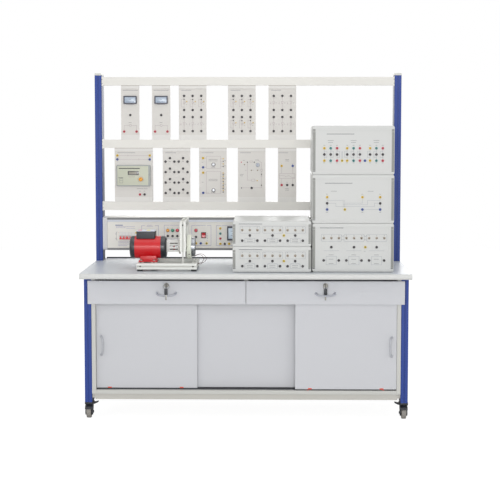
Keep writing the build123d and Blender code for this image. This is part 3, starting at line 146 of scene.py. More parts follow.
plain, tint, grain_depth = "NodeSocketFloat", "NodeSocketColor", 0.0002
mottle_inputs = {"Vector": "NodeSocketVector", "Colour": tint}
mottle_inputs |= dict.fromkeys(["Tone", "Patch", "Grain", "Roughness", "Spread"], plain)
mottle_outputs = {"Colour": tint, "Roughness": plain, "Height": plain}
mottle, given, result = effect("mottle", mottle_inputs, mottle_outputs)
patches, grains = (
    added(mottle, "TexNoise", {"Vector": given["Vector"], "Scale": given[size], "Detail": detail})[0]
    for size, detail in (("Patch", 3), ("Grain", 2))
)
wave = sums(mottle, "SUBTRACT", sums(mottle, "ADD", patches, grains), 1)
level = sums(mottle, "MULTIPLY_ADD", wave, given["Tone"], 1)
toned = added(mottle, "VectorMath", {0: given["Colour"], "Scale": level}, operation="SCALE")[0]
roughness = sums(mottle, "ADD", given["Roughness"], sums(mottle, "MULTIPLY", wave, given["Spread"]))
feed(mottle, result, {"Colour": toned, "Roughness": roughness, "Height": grains})


def finish(name, colour, tone=0.1, patch=6, grain=1500, roughness=0.4, spread=0.15, bump=0.15,
           metallic=0, coat=0, stretch=(1, 1, 1)):
    """A material whose colour and roughness drift in wide patches and a fine grain,
    with the grain as bump."""
    material = bpy.data.materials.new(name)
    material.use_nodes = True
    tree = material.node_tree
    place = added(tree, "TexCoord", {})["Object"]
    spots = added(tree, "Group", {
        "Vector": added(tree, "Mapping", {"Vector": place, "Scale": stretch})[0],
        "Colour": paint(*colour), "Tone": tone, "Patch": patch, "Grain": grain,
        "Roughness": roughness, "Spread": spread,
    }, node_tree=mottle)
    height = {"Height": spots["Height"], "Strength": bump, "Distance": grain_depth}
    feed(tree, tree.nodes["Principled BSDF"], {
        "Base Color": spots["Colour"], "Roughness": spots["Roughness"], "Metallic": metallic,
        "Coat Weight": coat, "Coat Roughness": 0.12, "Normal": added(tree, "Bump", height)[0],
    })
    return material


ring_face, base_end = -0.2637, -0.249
lead_routes = {
    "outer": (0.1316, [
        (ring_face, -0.176, 0.838), (-0.251, -0.178, 0.845), (-0.238, -0.181, 0.849),
        (-0.223, -0.184, 0.847), (-0.210, -0.187, 0.838), (-0.203, -0.190, 0.825),
        (-0.208, -0.192, 0.813), (-0.221, -0.193, 0.804), (-0.235, -0.193, 0.798),
        (base_end, -0.192, 0.796),
    ]),
    "inner": (0.0995, [
        (ring_face, -0.168, 0.836), (-0.252, -0.169, 0.841), (-0.241, -0.171, 0.843),
        (-0.229, -0.173, 0.840), (-0.221, -0.175, 0.831), (-0.219, -0.178, 0.819),
        (-0.224, -0.180, 0.808), (-0.235, -0.181, 0.801), (base_end, -0.181, 0.798),
    ]),
}
red_sleeve = finish("red lead sleeve", (74, 10, 18), patch=90, grain=2500, roughness=0.42, spread=0.1)
for name, (length, points) in lead_routes.items():
    curve = bpy.data.curves.new(f"brake_lead_{name}", "CURVE")
    curve.dimensions = "3D"
    curve.bevel_depth = 0.001
    curve.bevel_resolution = 3
    curve.use_fill_caps = True
    spline = curve.splines.new("NURBS")
    spline.points.add(len(points) - 1)
    for point, place in zip(spline.points, points):
        point.co = (*place, 1.0)
    spline.order_u = 3
    spline.use_endpoint_u = True
    spline.resolution_u = 8
    curve.materials.append(red_sleeve)
    lead = bpy.data.objects.new(f"brake_lead_{name}", curve)
    bpy.context.collection.objects.link(lead)
    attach(lead, "bench")
    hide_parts("brake_leads")


# Uprights: four steel profiles with a groove in front, in blue powder coat. The rear
# pair stands up to the top rail and ends in moulded caps. Square steel tubes between
# them, painted grey, carry the cabinet. Painted shade darkens the inner faces of the uprights.
# Edge tint: a colour laid where the Bevel node finds an edge, for edge wear and for painted highlights
# along edges.
edge_tint_inputs = {"Colour": tint, "Edge colour": tint, "Radius": plain, "Amount": plain}
edge_tint, given, result = effect("worn and highlit edges", edge_tint_inputs, {"Colour": tint, "Mask": plain})
round_normal = added(edge_tint, "Bevel", {"Radius": given["Radius"]}, samples=4)["Normal"]
flat_normal = added(edge_tint, "NewGeometry", {})["Normal"]
facing = added(edge_tint, "VectorMath", {0: round_normal, 1: flat_normal}, operation="DOT_PRODUCT")["Value"]
edge_mask = sums(edge_tint, "MULTIPLY", sums(edge_tint, "SUBTRACT", 1, facing), 6)
edge_mask = sums(edge_tint, "MINIMUM", sums(edge_tint, "MULTIPLY", edge_mask, given["Amount"]), 1)
blend = added(edge_tint, "Mix", {0: edge_mask, 6: given["Colour"], 7: given["Edge colour"]}, data_type="RGBA")[2]
feed(edge_tint, result, {"Colour": blend, "Mask": edge_mask})


def laid(material, kind, values, under, colour, **settings):
    """Puts a node between a material's colour so far and its shader."""
    tree = material.node_tree
    shader = tree.nodes["Principled BSDF"]
    values = {under: shader.inputs["Base Color"].links[0].from_socket, **values}
    feed(tree, shader, {"Base Color": added(tree, kind, values, **settings)[colour]})
    return material


def wear_and_highlight(material, colour, radius, amount):
    """Gives a material lighter or darker edges: edge wear, and on some finishes a painted highlight along
    the edges.
    """
    values = {"Edge colour": paint(*colour), "Radius": radius, "Amount": amount}
    return laid(material, "Group", values, "Colour", "Colour", node_tree=edge_tint)


def over(material, mask, colour):
    """Lays another colour over a material where a mask is 1."""
    return laid(material, "Mix", {0: mask, 7: paint(*colour)}, 6, 2, data_type="RGBA")


def dress(material, *names):
    """Gives carried-over solids their finish."""
    for name in names:
        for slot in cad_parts[name].material_slots:
            slot.material = material


between_inputs = dict.fromkeys(["Value", "From", "To"], plain)
between, given, result = effect("between", between_inputs, {"Mask": plain})
above = sums(between, "GREATER_THAN", given["Value"], given["From"])
below = sums(between, "LESS_THAN", given["Value"], given["To"])
feed(between, result, {"Mask": sums(between, "MULTIPLY", above, below)})


def banded(material, bands, axis="Z"):
    """Gives a material other colours between limits on an axis, each band as (from, to,
    colour) in metres."""
    tree = material.node_tree
    place = added(tree, "TexCoord", {})["Object"]
    level = added(tree, "SeparateXYZ", {0: place})[axis]
    for low, high, colour in bands:
        values = {"Value": level, "From": low, "To": high}
        over(material, added(tree, "Group", values, node_tree=between)["Mask"], colour)
    return material


blue_coat = finish(
    "blue powder coat", (24, 60, 146), tone=0.08, patch=5, grain=900, roughness=0.46, spread=0.12,
    bump=0.25
)
wear_and_highlight(blue_coat, (96, 124, 190), 0.0012, 0.4)
# Painted shade: the faces of the uprights that look inward are painted dark navy.
banded(blue_coat, [(-0.7926, 0.7926, (20, 30, 74))], "X")
dress(blue_coat, "uprights")
dress(finish("cap moulding", (214, 214, 208), tone=0.05, grain=600, roughness=0.45), "post_caps")
grey_coat = finish("grey paint", (202, 200, 193), tone=0.08, grain=800, roughness=0.45, bump=0.25)
dress(wear_and_highlight(grey_coat, (218, 217, 212), 0.001, 0.5), "base_beams")


# Worktop: a high-pressure laminate board on particle board, with a rounded front edge
# painted paler as a highlight and a dark rubber stop strip along the back. Its pale
# blue-grey face has a fine fleck.
def lofted(rings):
    """A closed shape from rings of equal count. Point j of ring i joins its neighbours
    in four-sided faces, and one flat face closes each end."""
    count, sides = rings.shape[:2]
    i, j = np.meshgrid(np.arange(count - 1), np.arange(sides), indexing="ij")
    k = (j + 1) % sides
    corners = [i * sides + j, i * sides + k, (i + 1) * sides + k, (i + 1) * sides + j]
    ends = [np.arange(sides)[::-1], np.arange(sides) + (count - 1) * sides]
    return rings.reshape(-1, 3), [*np.stack(corners, -1).reshape(-1, 4), *ends]


def piece(name, shapes, material, slot, *nodes, body="bench"):
    """Closed shapes in millimetres as one object in metres that rides on its body and
    stands for the named solids. Edges that turn by over 35 degrees stay sharp."""
    starts = np.cumsum([0] + [len(points) for points, _ in shapes])
    points = np.concatenate([points for points, _ in shapes]) * 0.001
    faces = [(face + start).tolist() for start, (_, group) in zip(starts, shapes) for face in group]
    mesh = bpy.data.meshes.new(name)
    mesh.from_pydata(points, [], faces)
    mesh.shade_smooth()
    mesh.set_sharp_from_angle(angle=np.radians(35))
    mesh.materials.append(material)
    made = bpy.data.objects.new(name, mesh)
    bpy.context.collection.objects.link(made)
    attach(made, body)
    if nodes:
        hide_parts(*nodes)


def outline(circles, inset, directions):
    """The line round some circles (a, b, radius), drawn in by inset. In each direction
    it is the point radius - inset out from the centre of the circle that reaches
    furthest that way."""
    angle = (np.arange(directions) + 0.5) * 2 * np.pi / directions
    way = np.stack([np.cos(angle), np.sin(angle)], -1)
    circles = np.asarray(circles, float)
    far = (way @ circles[:, :2].T + circles[:, 2]).argmax(1)
    return circles[far, :2] + way * (circles[far, 2:] - inset)


def plate(circles, span, axis, edge=1.0, directions=32):
    """A plate between two places on an axis, with the outline round some circles. Both
    rims are quarter rounds: at an angle w, edge (1 - sin w) in and edge (1 - cos w) on."""
    turn = np.linspace(0, np.pi / 2, 4)
    inset, onward = edge * (1 - np.sin(turn)), edge * (1 - np.cos(turn))
    levels = np.concatenate([span[0] + onward, span[1] - onward[::-1]])
    flat = [outline(circles, drawn, directions) for drawn in [*inset, *inset[::-1]]]
    rings = np.empty((len(levels), directions, 3))
    rings[..., axis] = levels[:, None]
    rings[..., [(axis + 1) % 3, (axis + 2) % 3]] = np.stack(flat)
    return lofted(rings)


def box_corners(across, up, radius):
    """The four circles in the corners of a rectangle."""
    (a, b), (c, d) = across, up
    return [(s, t, radius) for s in (a + radius, b - radius) for t in (c + radius, d - radius)]


def block(x, y, z, radius=2.0, edge=1.0, axis=1, directions=32):
    """A box between limits, with its edges along an axis and both its rims rounded."""
    limits = [x, y, z]
    circles = box_corners(limits[(axis + 1) % 3], limits[(axis + 2) % 3], radius)
    return plate(circles, limits[axis], axis, edge, directions)


top_laminate = finish(
    "worktop laminate", (206, 211, 216), tone=0.06, patch=3, grain=420, roughness=0.36, spread=0.2,
    bump=0.12
)
tree = top_laminate.node_tree
place = added(tree, "TexCoord", {})["Object"]
flecks = added(tree, "TexVoronoi", {"Vector": place, "Scale": 650})["Distance"]
limits = {"Value": flecks, "From Min": 0.06, "From Max": 0.24, "To Min": 0.45, "To Max": 0}
over(top_laminate, added(tree, "MapRange", limits)["Result"], (150, 158, 170))
# Painted highlight: the rounded front edge is painted paler than the top.
banded(top_laminate, [(-0.41, -0.3975, (214, 215, 213))], "Y")
dress(top_laminate, "worktop")

stop_rubber = finish("stop strip rubber", (62, 66, 72), patch=20, grain=1300, roughness=0.6)
strip = block((-789, 789), (396, 403), (765, 774.5), 2, 1, 0)
piece("worktop_stop_strip", [strip], stop_rubber, "worktop_laminate")

# Cabinet: melamine-faced boards, glued and screwed, with edge bands. The middle panel
# is fixed, the two doors slide past it on fins of zinc-plated steel, and the two
# drawers run in steel channels. Shade is painted into the gap under the doors and the
# middle panel: a dark band along their bottoms and over the tracks below.
board_laminate = finish(
    "board laminate", (206, 206, 201), tone=0.04, patch=3, grain=500, roughness=0.5, spread=0.12,
    bump=0.1
)
dress(wear_and_highlight(board_laminate, (178, 180, 180), 0.0009, 0.5), "cabinet_boards")
front_laminate = finish(
    "front laminate", (208, 209, 213), tone=0.03, patch=2, grain=480, roughness=0.42, spread=0.14,
    bump=0.1
)
edge_band = (184, 186, 192)
wear_and_highlight(front_laminate, edge_band, 0.0012, 0.7)
# Painted shade: a dark band along the bottoms of the doors and the middle panel.
banded(front_laminate, [(0.15, 0.1562, (92, 92, 96))])
dress(front_laminate, "drawer_left", "drawer_right", "door_left", "door_right", "middle_panel")
zinc = finish(
    "zinc-plated steel", (176, 178, 180), tone=0.12, patch=30, grain=160, spread=0.3, metallic=0.9
)
# Painted shade: a dark band over the floor track and guide fins under the doors.
banded(zinc, [(0.14, 0.1575, (66, 66, 70))])
dress(zinc, "runners_and_tracks")


# Handles: bow handles, moulded in pale grey plastic on the drawers and of coated steel
# on the doors, held by screws from behind. The doors also run on small plastic rollers.
def tube(path, radius, normal, sides=16):
    """A round section carried along a path in one plane. At an angle w, its point lies
    radius (cos w n + sin w (t x n)) from the path, where t is the path's direction and
    n the plane's normal. The radius may have one value for each point of the path."""
    path = np.asarray(path, float)
    along = np.gradient(path, axis=0)
    along /= np.linalg.norm(along, axis=1, keepdims=True)
    normal = np.broadcast_to(np.asarray(normal, float), path.shape)
    beside = np.cross(along, normal)
    angle = np.arange(sides) * 2 * np.pi / sides
    spread = np.cos(angle)[:, None] * normal[:, None] + np.sin(angle)[:, None] * beside[:, None]
    return lofted(path[:, None] + np.broadcast_to(radius, len(path))[:, None, None] * spread)


def turned(origins, profile, axis=1, sides=48, sign=-1, flutes=0, depth=0.0):
    """A profile of (t, r) carried round an axis from each origin. At an angle w, its
    point lies t on along the axis and r (1 - depth (1 - cos(flutes w)) / 2) out."""
    onward, out = np.asarray(profile, float).T
    angle = np.arange(sides) * 2 * np.pi / sides
    reach = out[:, None] * (1 - depth * (1 - np.cos(flutes * angle)) / 2)
    rings = np.empty((len(onward), sides, 3))
    rings[..., axis] = sign * onward[:, None]
    rings[..., (axis + 1) % 3] = reach * np.cos(angle)
    rings[..., (axis + 2) % 3] = sign * reach * np.sin(angle)
    points, faces = lofted(rings)
    return [(points + np.asarray(origin), faces) for origin in origins]


handle_half, handle_reach, handle_radius = 48.0, 26.0, 4.5
swing = np.linspace(0, np.pi, 41)
bow_across = handle_half * np.sign(np.cos(swing)) * np.abs(np.cos(swing)) ** 0.55
bow_out = handle_reach * np.sin(swing) ** 0.55
handle_moulding = finish(
    "handle moulding", (182, 184, 192), tone=0.04, patch=20, grain=900, roughness=0.3, coat=0.3
)
handle_coat = finish(
    "handle coat", (186, 188, 194), tone=0.05, patch=25, grain=700, roughness=0.28, coat=0.4
)
drawer_front, drawer_middle, drawer_handle_z = -259.0, 404.75, 654.0
feet = [(0.0, 5.6), (1.6, 7.2), (3.2, 5.4)]
for side, sign in (("left", -1), ("right", 1)):
    middle = sign * drawer_middle
    droop = 10 * np.sin(swing)
    path = np.stack([middle - bow_across, drawer_front - bow_out, drawer_handle_z - droop], -1)
    shapes = [tube(path, handle_radius, (0, -0.34, 0.94))]
    ends = [(middle + end * handle_half, drawer_front, drawer_handle_z) for end in (-1, 1)]
    shapes += turned(ends, feet, sides=20)
    piece(f"drawer_handle_{side}", shapes, handle_moulding, "handle_plastic", f"drawer_fittings_{side}",
          body=f"drawer_{side}")

roller_moulding = finish("roller moulding", (232, 92, 70), tone=0.08, patch=60, grain=1200)
door_handle_z = 376.0
for side, sign, front in (("left", -1, -210.0), ("right", 1, -234.0)):
    outer = sign * (770 - 24)
    lean = -sign * 10 * np.sin(swing)
    path = np.stack([outer + lean, front - bow_out, door_handle_z - bow_across], -1)
    shapes = [tube(path, handle_radius, (0.94, -0.34 * sign, 0))]
    ends = [(outer, front, door_handle_z + end * handle_half) for end in (-1, 1)]
    shapes += turned(ends, feet, sides=20)
    piece(f"door_handle_{side}", shapes, handle_coat, "handle_steel", f"door_fittings_{side}",
          body=f"door_{side}")
    low, high = sorted((sign * 770, sign * 251))
    rollers = [(x, front + 12.5, 158.3) for x in (low + 66, high - 66)]
    shapes = turned(rollers, [(0, 8), (1, 9), (10, 9), (11, 8)], sides=24)
    for x in ((low + 66, high - 82) if side == "left" else (low + 77, high - 75)):
        shapes.append(block((x - 10, x + 10), (front - 1, front + 1), (155, 161), 1, 0.4))
    piece(f"door_rollers_{side}", shapes, roller_moulding, "handle_steel", f"door_fittings_{side}",
          body=f"door_{side}")

# Locks and keys: cam locks with a nickel-plated collar. A flat key turns each plug, and
# its twin, in a dark plastic bow, hangs from it on a wire ring.
def hoop(origins, section, axis=1, sides=40, sign=-1):
    """A closed section of (t, r) carried once round an axis from each origin: point
    (t, r) goes t on along the axis, r cos w and r sin w out. The section runs towards
    low t on its outer side."""
    onward, out = np.asarray(section, float).T
    angle = np.arange(sides)[:, None] * 2 * np.pi / sides
    grid = np.empty((sides, len(onward), 3))
    grid[..., axis] = sign * onward
    grid[..., (axis + 1) % 3] = out * np.cos(angle)
    grid[..., (axis + 2) % 3] = sign * out * np.sin(angle)
    i, j = np.meshgrid(np.arange(sides), np.arange(len(onward)), indexing="ij")
    count, k, m = len(onward), (j + 1) % len(onward), (i + 1) % sides
    quads = np.stack([i * count + j, i * count + k, m * count + k, m * count + j], -1)
    faces = list(quads.reshape(-1, 4))
    return [(grid.reshape(-1, 3) + np.asarray(origin), faces) for origin in origins]


nickel = finish("nickel plate", (146, 144, 138), tone=0.06, patch=80, grain=900, roughness=0.34, metallic=1)
key_moulding = finish("key bow moulding", (38, 40, 46), tone=0.15, patch=90, grain=1600)
lock_z, collar_height, plug_front = 695.0, 3.0, -263.0
ring_hang = np.array([0.0, plug_front - 4, lock_z + 5.3])
ring_sizes = {"left": (-1, 16.0, 48.0, -0.2), "right": (1, 12.0, 0.0, 1.75)}
for side, (sign, radius, tilt, step) in ring_sizes.items():
    middle, body = sign * drawer_middle, f"drawer_{side}"
    collar = [(collar_height, 8.3), (collar_height, 11), (2.2, 12), (0, 12), (0, 8.3)]
    shapes = hoop([(middle, drawer_front, lock_z)], collar)
    down = np.array([0, -np.sin(np.radians(tilt)), -np.cos(np.radians(tilt))])
    centre = np.array([middle, 0, 0]) + ring_hang + down * radius
    lap = np.linspace(0, 2 * np.pi, 33)[:, None]
    path = centre + radius * (np.cos(lap) * np.array([1, 0, 0]) + np.sin(lap) * down)
    shapes.append(tube(path, 1.0, np.cross([1, 0, 0], down), sides=8))
    low = centre + down * radius
    top, back = low[2] + 3, low[1] + step
    blade_y = (back - 3, back - 0.5)
    shapes.append(block((middle - 3.5, middle + 3.5), blade_y, (top - 60, top - 33), 1.2, 0.4))
    piece(f"lock_{side}", shapes, nickel, "key_steel", f"drawer_fittings_{side}", body=body)
    bow = block((middle - 8.5, middle + 8.5), (back - 3.5, back), (top - 34, top), 6, 1.2)
    piece(f"spare_key_{side}", [bow], key_moulding, "key_steel", f"drawer_fittings_{side}", body=body)

    start = [(middle, -239.0, lock_z)]
    plug = [(0, 7.6), (0.5, 8), (23.2, 8), (24, 7.2)]
    neck = [(23, 3.4), (36.5, 3.4), (37, 2.6)]
    shapes = turned(start, plug, sides=32) + turned(start, neck, sides=16)
    piece(f"key_plug_{side}", shapes, nickel, "key_steel", f"key_{side}", body=f"key_{side}")
    bow = block((middle - 1.25, middle + 1.25), (-297, -274.5), (lock_z - 12, lock_z + 12), 6, 0.6, 0)
    piece(f"key_bow_{side}", [bow], key_moulding, "key_steel", f"key_{side}", body=f"key_{side}")


# Casters: pressed steel forks in black paint, which swivel on stems in the uprights.
# Rubber tyres run on grey plastic hubs under a hood, and the front pair has brake
# pedals.
def fender(centre, half, radii, limits, steps=24):
    """A curved shell round the X axis through a centre. At an angle w from the front, it
    goes from half to -half along X and from the inner to the outer radius r, at r cos w
    in front of the centre and r sin w above it."""
    angle = np.radians(np.linspace(*limits, steps))[:, None]
    across, out = np.array([(-half, 0), (half, 0), (half, 1), (-half, 1)]).T
    reach = radii[0] + (radii[1] - radii[0]) * out
    rings = np.stack([0 * angle + across, -reach * np.cos(angle), reach * np.sin(angle)], -1)
    return lofted(rings + np.asarray(centre, float))


caster_paint = finish("black caster paint", (42, 44, 50), tone=0.2, patch=40, grain=1200, roughness=0.42)
wear_and_highlight(caster_paint, (110, 112, 118), 0.0015, 0.5)
tyre_rubber = finish("tyre rubber", (150, 146, 140), tone=0.2, patch=50, roughness=0.7, bump=0.4)
hub_moulding = finish("hub moulding", (74, 75, 79), patch=60, grain=1200, roughness=0.5)
axle_z, wheel_trail, crown_bottom, crown_top = 32.0, 25.0, 68.7, 84.7
tyre = [(12, 21), (12, 28.5), (10.6, 31), (8, 32), (-8, 32), (-10.6, 31), (-12, 28.5), (-12, 21)]
hub = [(11, 4.2), (11, 8), (8, 10), (8, 18.5), (11, 21), (-11, 21), (-8, 18.5), (-8, 10),
       (-11, 8), (-11, 4.2)]
caster_spots = {
    "front_left": (-811, -188, 1), "front_right": (811, -188, -1),
    "rear_left": (-811, 308, 1), "rear_right": (811, 308, -1),
}
for place, (x, y, inward) in caster_spots.items():
    wheel_y = y - wheel_trail
    spot, wheel, fork = [(x, wheel_y, axle_z)], f"wheel_{place}", f"fork_{place}"
    node = f"caster_wheel_{place}"
    shapes = hoop(spot, tyre, axis=0, sides=64, sign=1)
    piece(f"tyre_{place}", shapes, tyre_rubber, "tyre_black", node, body=wheel)
    shapes = hoop(spot, hub, axis=0, sides=48, sign=1)
    piece(f"hub_{place}", shapes, hub_moulding, "tyre_black", node, body=wheel)

    middle = y - wheel_trail / 4
    shapes = [block((x - 23, x + 23), (middle - 27, middle + 27), (crown_bottom, crown_top), 9, 3, 2)]
    shapes += turned([(x, y, crown_top - 1)], [(0, 5), (25, 5), (26, 4.2)], 2, 24, 1)
    shapes += turned([(x, y, crown_bottom - 4)], [(0, 14), (2, 18), (5, 19)], 2, 32, 1)
    cheek = [(wheel_y, axle_z, 17), (middle - 17, crown_bottom, 5), (middle + 15, crown_bottom, 5)]
    for low in (x - 19.2, x + 13):
        shapes.append(plate(cheek, (low, low + 6.2), 0, 1.2, 40))
    shapes += turned([(x - 18, wheel_y, axle_z)], [(0, 4), (36, 4)], 0, 20, 1)
    shapes.append(fender((x, wheel_y, axle_z), 19, (33.6, 36.4), (30, 140)))
    nut_start = x + inward * 18
    shapes += turned([(nut_start, wheel_y, axle_z)], [(0, 7.2), (5, 7.5), (6, 6.6)], 0, 6, inward)
    if place.startswith("front"):
        pivot, lift = x + inward * 27.5, 73.7
        ear = [(lift, pivot, 4), (lift, pivot - inward * 4, 4)]
        for start in (y - 16.3, y + 13.3):
            shapes.append(plate(ear, (start, start + 3), 1, 0.8, 24))
        side = place.split("_")[1]
        tongue = [(lift, pivot, 4), (lift + 5.5, pivot + inward * 15.5, 2.5)]
        pedal = [plate(tongue, (y - 13, y + 13), 1, 1.2, 24)]
        pedal += turned([(pivot, y + 16, lift)], [(0, 1.9), (32, 1.9)], 1, 12, -1)
        piece(f"pedal_{side}", pedal, caster_paint, "caster_black", f"brake_pedal_{side}",
              body=f"pedal_{side}")
    piece(f"fork_{place}", shapes, caster_paint, "caster_black", f"caster_fork_{place}", body=fork)

# Module rails: three extruded bars in cream paint, grooved for the boards and bolted to
# the uprights through end flanges.
rail_paint = finish("cream paint", (231, 229, 223), tone=0.03, patch=4, grain=900, spread=0.12, bump=0.2)
dress(wear_and_highlight(rail_paint, (206, 204, 198), 0.001, 0.5), "module_rails")
bolts = [
    (end * 789.5, 258.6, bottom + lift)
    for bottom in (1045, 1383, 1721) for lift in (12, 33) for end in (-1, 1)
]
piece("rail_bolts", turned(bolts, [(0, 2.2), (0.2, 2.2), (0.5, 1.6)], sides=12), nickel, "rail_cream")

# Module boards: grey laminate boards with a folded lip at each end, hung in the rails.
# Lines, symbols and lines of print are screen-printed on them. The print is kept to
# symbols and plain strokes.
board_grey = finish("module board", (218, 215, 210), tone=0.03, grain=800, roughness=0.45, spread=0.12)
wear_and_highlight(board_grey, (232, 230, 226), 0.0012, 0.5)
# A painted shadow line runs along the top edge of each row of boards, under its rail.
lip, shade_line = ((226, 224, 220), (176, 166, 158))
banded(board_grey, [(1.0895, 1.116, lip), (1.3665, 1.3808, lip), (1.3808, 1.384, shade_line),
                    (1.4275, 1.454, lip), (1.7045, 1.7188, lip), (1.7188, 1.7225, shade_line)])
dress(board_grey, "module_boards", "supply_module")


def printed(name, colour, face, paths, width=1.4):
    """Print on a panel that faces the user: each run of each path, from (x, z) to
    (x, z), is a flat bar half its width longer at both ends and 0.25 proud."""
    paths = [np.array(path, float) for path in paths]
    runs = np.concatenate([np.stack([path[:-1], path[1:]], 1) for path in paths])
    runs = runs[(runs[:, 0] != runs[:, 1]).any(1)]
    start, end = runs[:, 0], runs[:, 1]
    along = end - start
    along *= width / 2 / np.linalg.norm(along, axis=1, keepdims=True)
    across = np.stack([-along[:, 1], along[:, 0]], -1)
    flat = np.stack([start - along - across, end + along - across,
                     end + along + across, start - along + across], 1)
    points = np.empty((len(runs), 8, 3))
    points[:, :4, [0, 2]] = points[:, 4:, [0, 2]] = flat
    points[:, :4, 1], points[:, 4:, 1] = face - 0.25, face + 0.1
    sides = np.array([[0, 1, 2, 3], [7, 6, 5, 4], [0, 4, 5, 1], [1, 5, 6, 2], [2, 6, 7, 3], [3, 7, 4, 0]])
    faces = (np.arange(len(runs))[:, None, None] * 8 + sides).reshape(-1, 4)
    if colour not in inks:
        inks[colour] = finish(f"{name} ink", colour, tone=0.12, patch=60, roughness=0.5, bump=0.05)
    piece(name, [(points.reshape(-1, 3), list(faces))], inks[colour], "module_grey")


def captions(x, z, *rows):
    """Lines of print as plain strokes of 2 to 4 mm with gaps between, each from a place
    (a, b) off the point (x, z) and of a length."""
    size = np.resize([3.6, 2.2, 4.2, 2.8, 1.8, 3.2], 60)
    start = np.cumsum(size + 1.9) - size - 1.9
    return [[(x + a + first, z + b), (x + a + first + long, z + b)] for a, b, length in rows
            for first, long in zip(start, size) if first + long < length + 0.5]


def moved(x, z, paths):
    """Paths drawn round the point (0, 0), moved to (x, z)."""
    return [[(x + a, z + b) for a, b in path] for path in paths]


def ring(x, z, radius, points=14):
    """A circle as a closed path."""
    angle = np.linspace(0, 2 * np.pi, points + 1)
    return np.stack([x + radius * np.cos(angle), z + radius * np.sin(angle)], -1)


def frame_line(x, z, cut=0.0):
    """A rectangle between limits as a closed path, with its corners cut off."""
    (a, b), (c, d) = x, z
    return [(a + cut, c), (b - cut, c), (b, c + cut), (b, d - cut), (b - cut, d), (a + cut, d),
            (a, d - cut), (a, c + cut), (a + cut, c)]


def valve(x, z, size=6.0):
    """The symbol of a diode that points down: a triangle on a bar."""
    return [[(x - size, z + size), (x + size, z + size), (x, z - size), (x - size, z + size)],
            [(x - size, z - size), (x + size, z - size)]]


inks = {}
ink, pale_ink, title_ink = (104, 100, 106), (184, 172, 174), (142, 140, 148)
module_face, upper, lower, high_row, low_row = 264.5, 1428.0, 1090.0, 236.5, 122.5
lines, words, names = [], [], []
for x in (-638, -470):
    lines += moved(x, upper, [[(-33.5, 52), (-33.5, 77), (-6, 77)], [(33.5, 52), (33.5, 77), (6, 77)],
                              ring(0, 77, 6)])
    words += captions(x, upper, (-8, 93, 16))
    names += captions(x, upper, (-40, 267, 82), (-22, 190, 44))
gated = [[(0, -24), (0, -32)], [(0, -44), (0, -68)], [(0, -19), (-14, -19), (-14, -59), (0, -59)],
         [(2, -38), (14, -34)], *valve(0, -38, 5)]
ungated = [[(0, -8), (0, -30)], [(0, -44), (0, -68)], [(-17, -32), (-17, -44), (-20, -39)],
           *valve(0, -37, 6)]
for x, gates in ((-299, (high_row,)), (-32, (high_row, low_row)), (187, ())):
    names += captions(x, upper, (-60, 267, 52))
    for column in (-46.5, 0, 46.5):
        for row in (high_row, low_row):
            symbol, label = (gated, -45) if row in gates else (ungated, -38)
            lines += moved(x + column, upper + row, symbol)
            words += captions(x + column, upper + row, (11, label, 7))
names += captions(0, lower, (-448, 267, 60), (-250, 267, 64), (-41, 267, 60), (169, 267, 50))
for z in range(1138, 1310, 57):
    for x in (-423.7, -352.3):
        words += captions(x, z, (-4, 0, 8))
        lines.append([(x, z + 11), (x, z + 5)])

# Trigger board: two framed fields with a trimmer in each, and rows of pulse sockets
lines += [frame_line((-225, -148), (1272, 1338)), frame_line((-225, -148), (1135, 1256))]
lines += [[(-243, z), (-225, z)] for z in (1328, 1278, 1249)]
lines += [[(-243, 1139), (-212, 1139), (-212, 1135)]]
pulse_rows = [1325 - 14.2 * step for step in range(4)] + [1247 - 9.4 * step for step in range(12)]
lines += [[(-148, z), (-139, z)] for z in pulse_rows]
words += captions(0, 0, *((-213, z, 50) for z in (1321, 1313, 1213, 1205)), (-250, 1306, 13),
                  (-250, 1197, 13), (-200, 1278, 26), (-200, 1140, 26),
                  *((-128, z, 9) for z in (1314, 1286, 1242, 1214, 1186, 1158)))

# Driver board: a transistor stage with small switches, a trimmer and measuring points
lines += [
    [(-2, 1304), (-2, 1208), (21, 1208)], frame_line((21, 38), (1202, 1214)), [(38, 1208), (51, 1208)],
    [(74, 1304), (74, 1268)], [(74, 1256), (74, 1167), (31, 1167)], [(12, 1167), (-33, 1167)],
    frame_line((11, 25), (1305, 1313)), ring(75, 1262, 6), [(70, 1228), (78, 1236)],
    [(56, 1316), (74, 1304)],
]
words += captions(0, 0, (-26, 1316, 12), (40, 1318, 20), (-42, 1240, 18), (-42, 1232, 14),
                  (-12, 1262, 6), (26, 1262, 6))
words += [[(-4, 1307), (0, 1307)], [(35, 1307), (39, 1307)]]

# Converter board: input and output sockets joined through one converter symbol
lines += moved(214, 0, [
    frame_line((-43, 42), (1218, 1244)),
    [(-43, 1232), (-22, 1236), (-8, 1228), (8, 1233), (26, 1224), (42, 1222)],
    *([(x, high), (x, low)] for high, low in ((1278, 1244), (1218, 1190)) for x in (-30, 30)),
])
words += captions(214, 0, (-10, 1321, 20), (-9, 1313, 18), (-10, 1162, 20), (-9, 1154, 18),
                  (-33, 1296, 5), (27, 1296, 5), (-2, 1197, 5))

# Supply board: its two pairs of terminals are joined above and below the unit
lines += moved(-623, lower, [[(-78, 252), (80, 252)], [(-78, 231), (80, 231)],
                             [(-30, 247), (-30, 257)], [(30, 226), (30, 236)]])
names += captions(-623, lower, (-86, 267, 96))
words += captions(-623, 0, (19, 1161, 58), (30, 1148, 8), (56, 1148, 8))
printed("module_lines", pale_ink, module_face, lines, 1.4)
printed("module_words", ink, module_face, words, 1.5)
printed("module_names", title_ink, module_face, names, 2.0)

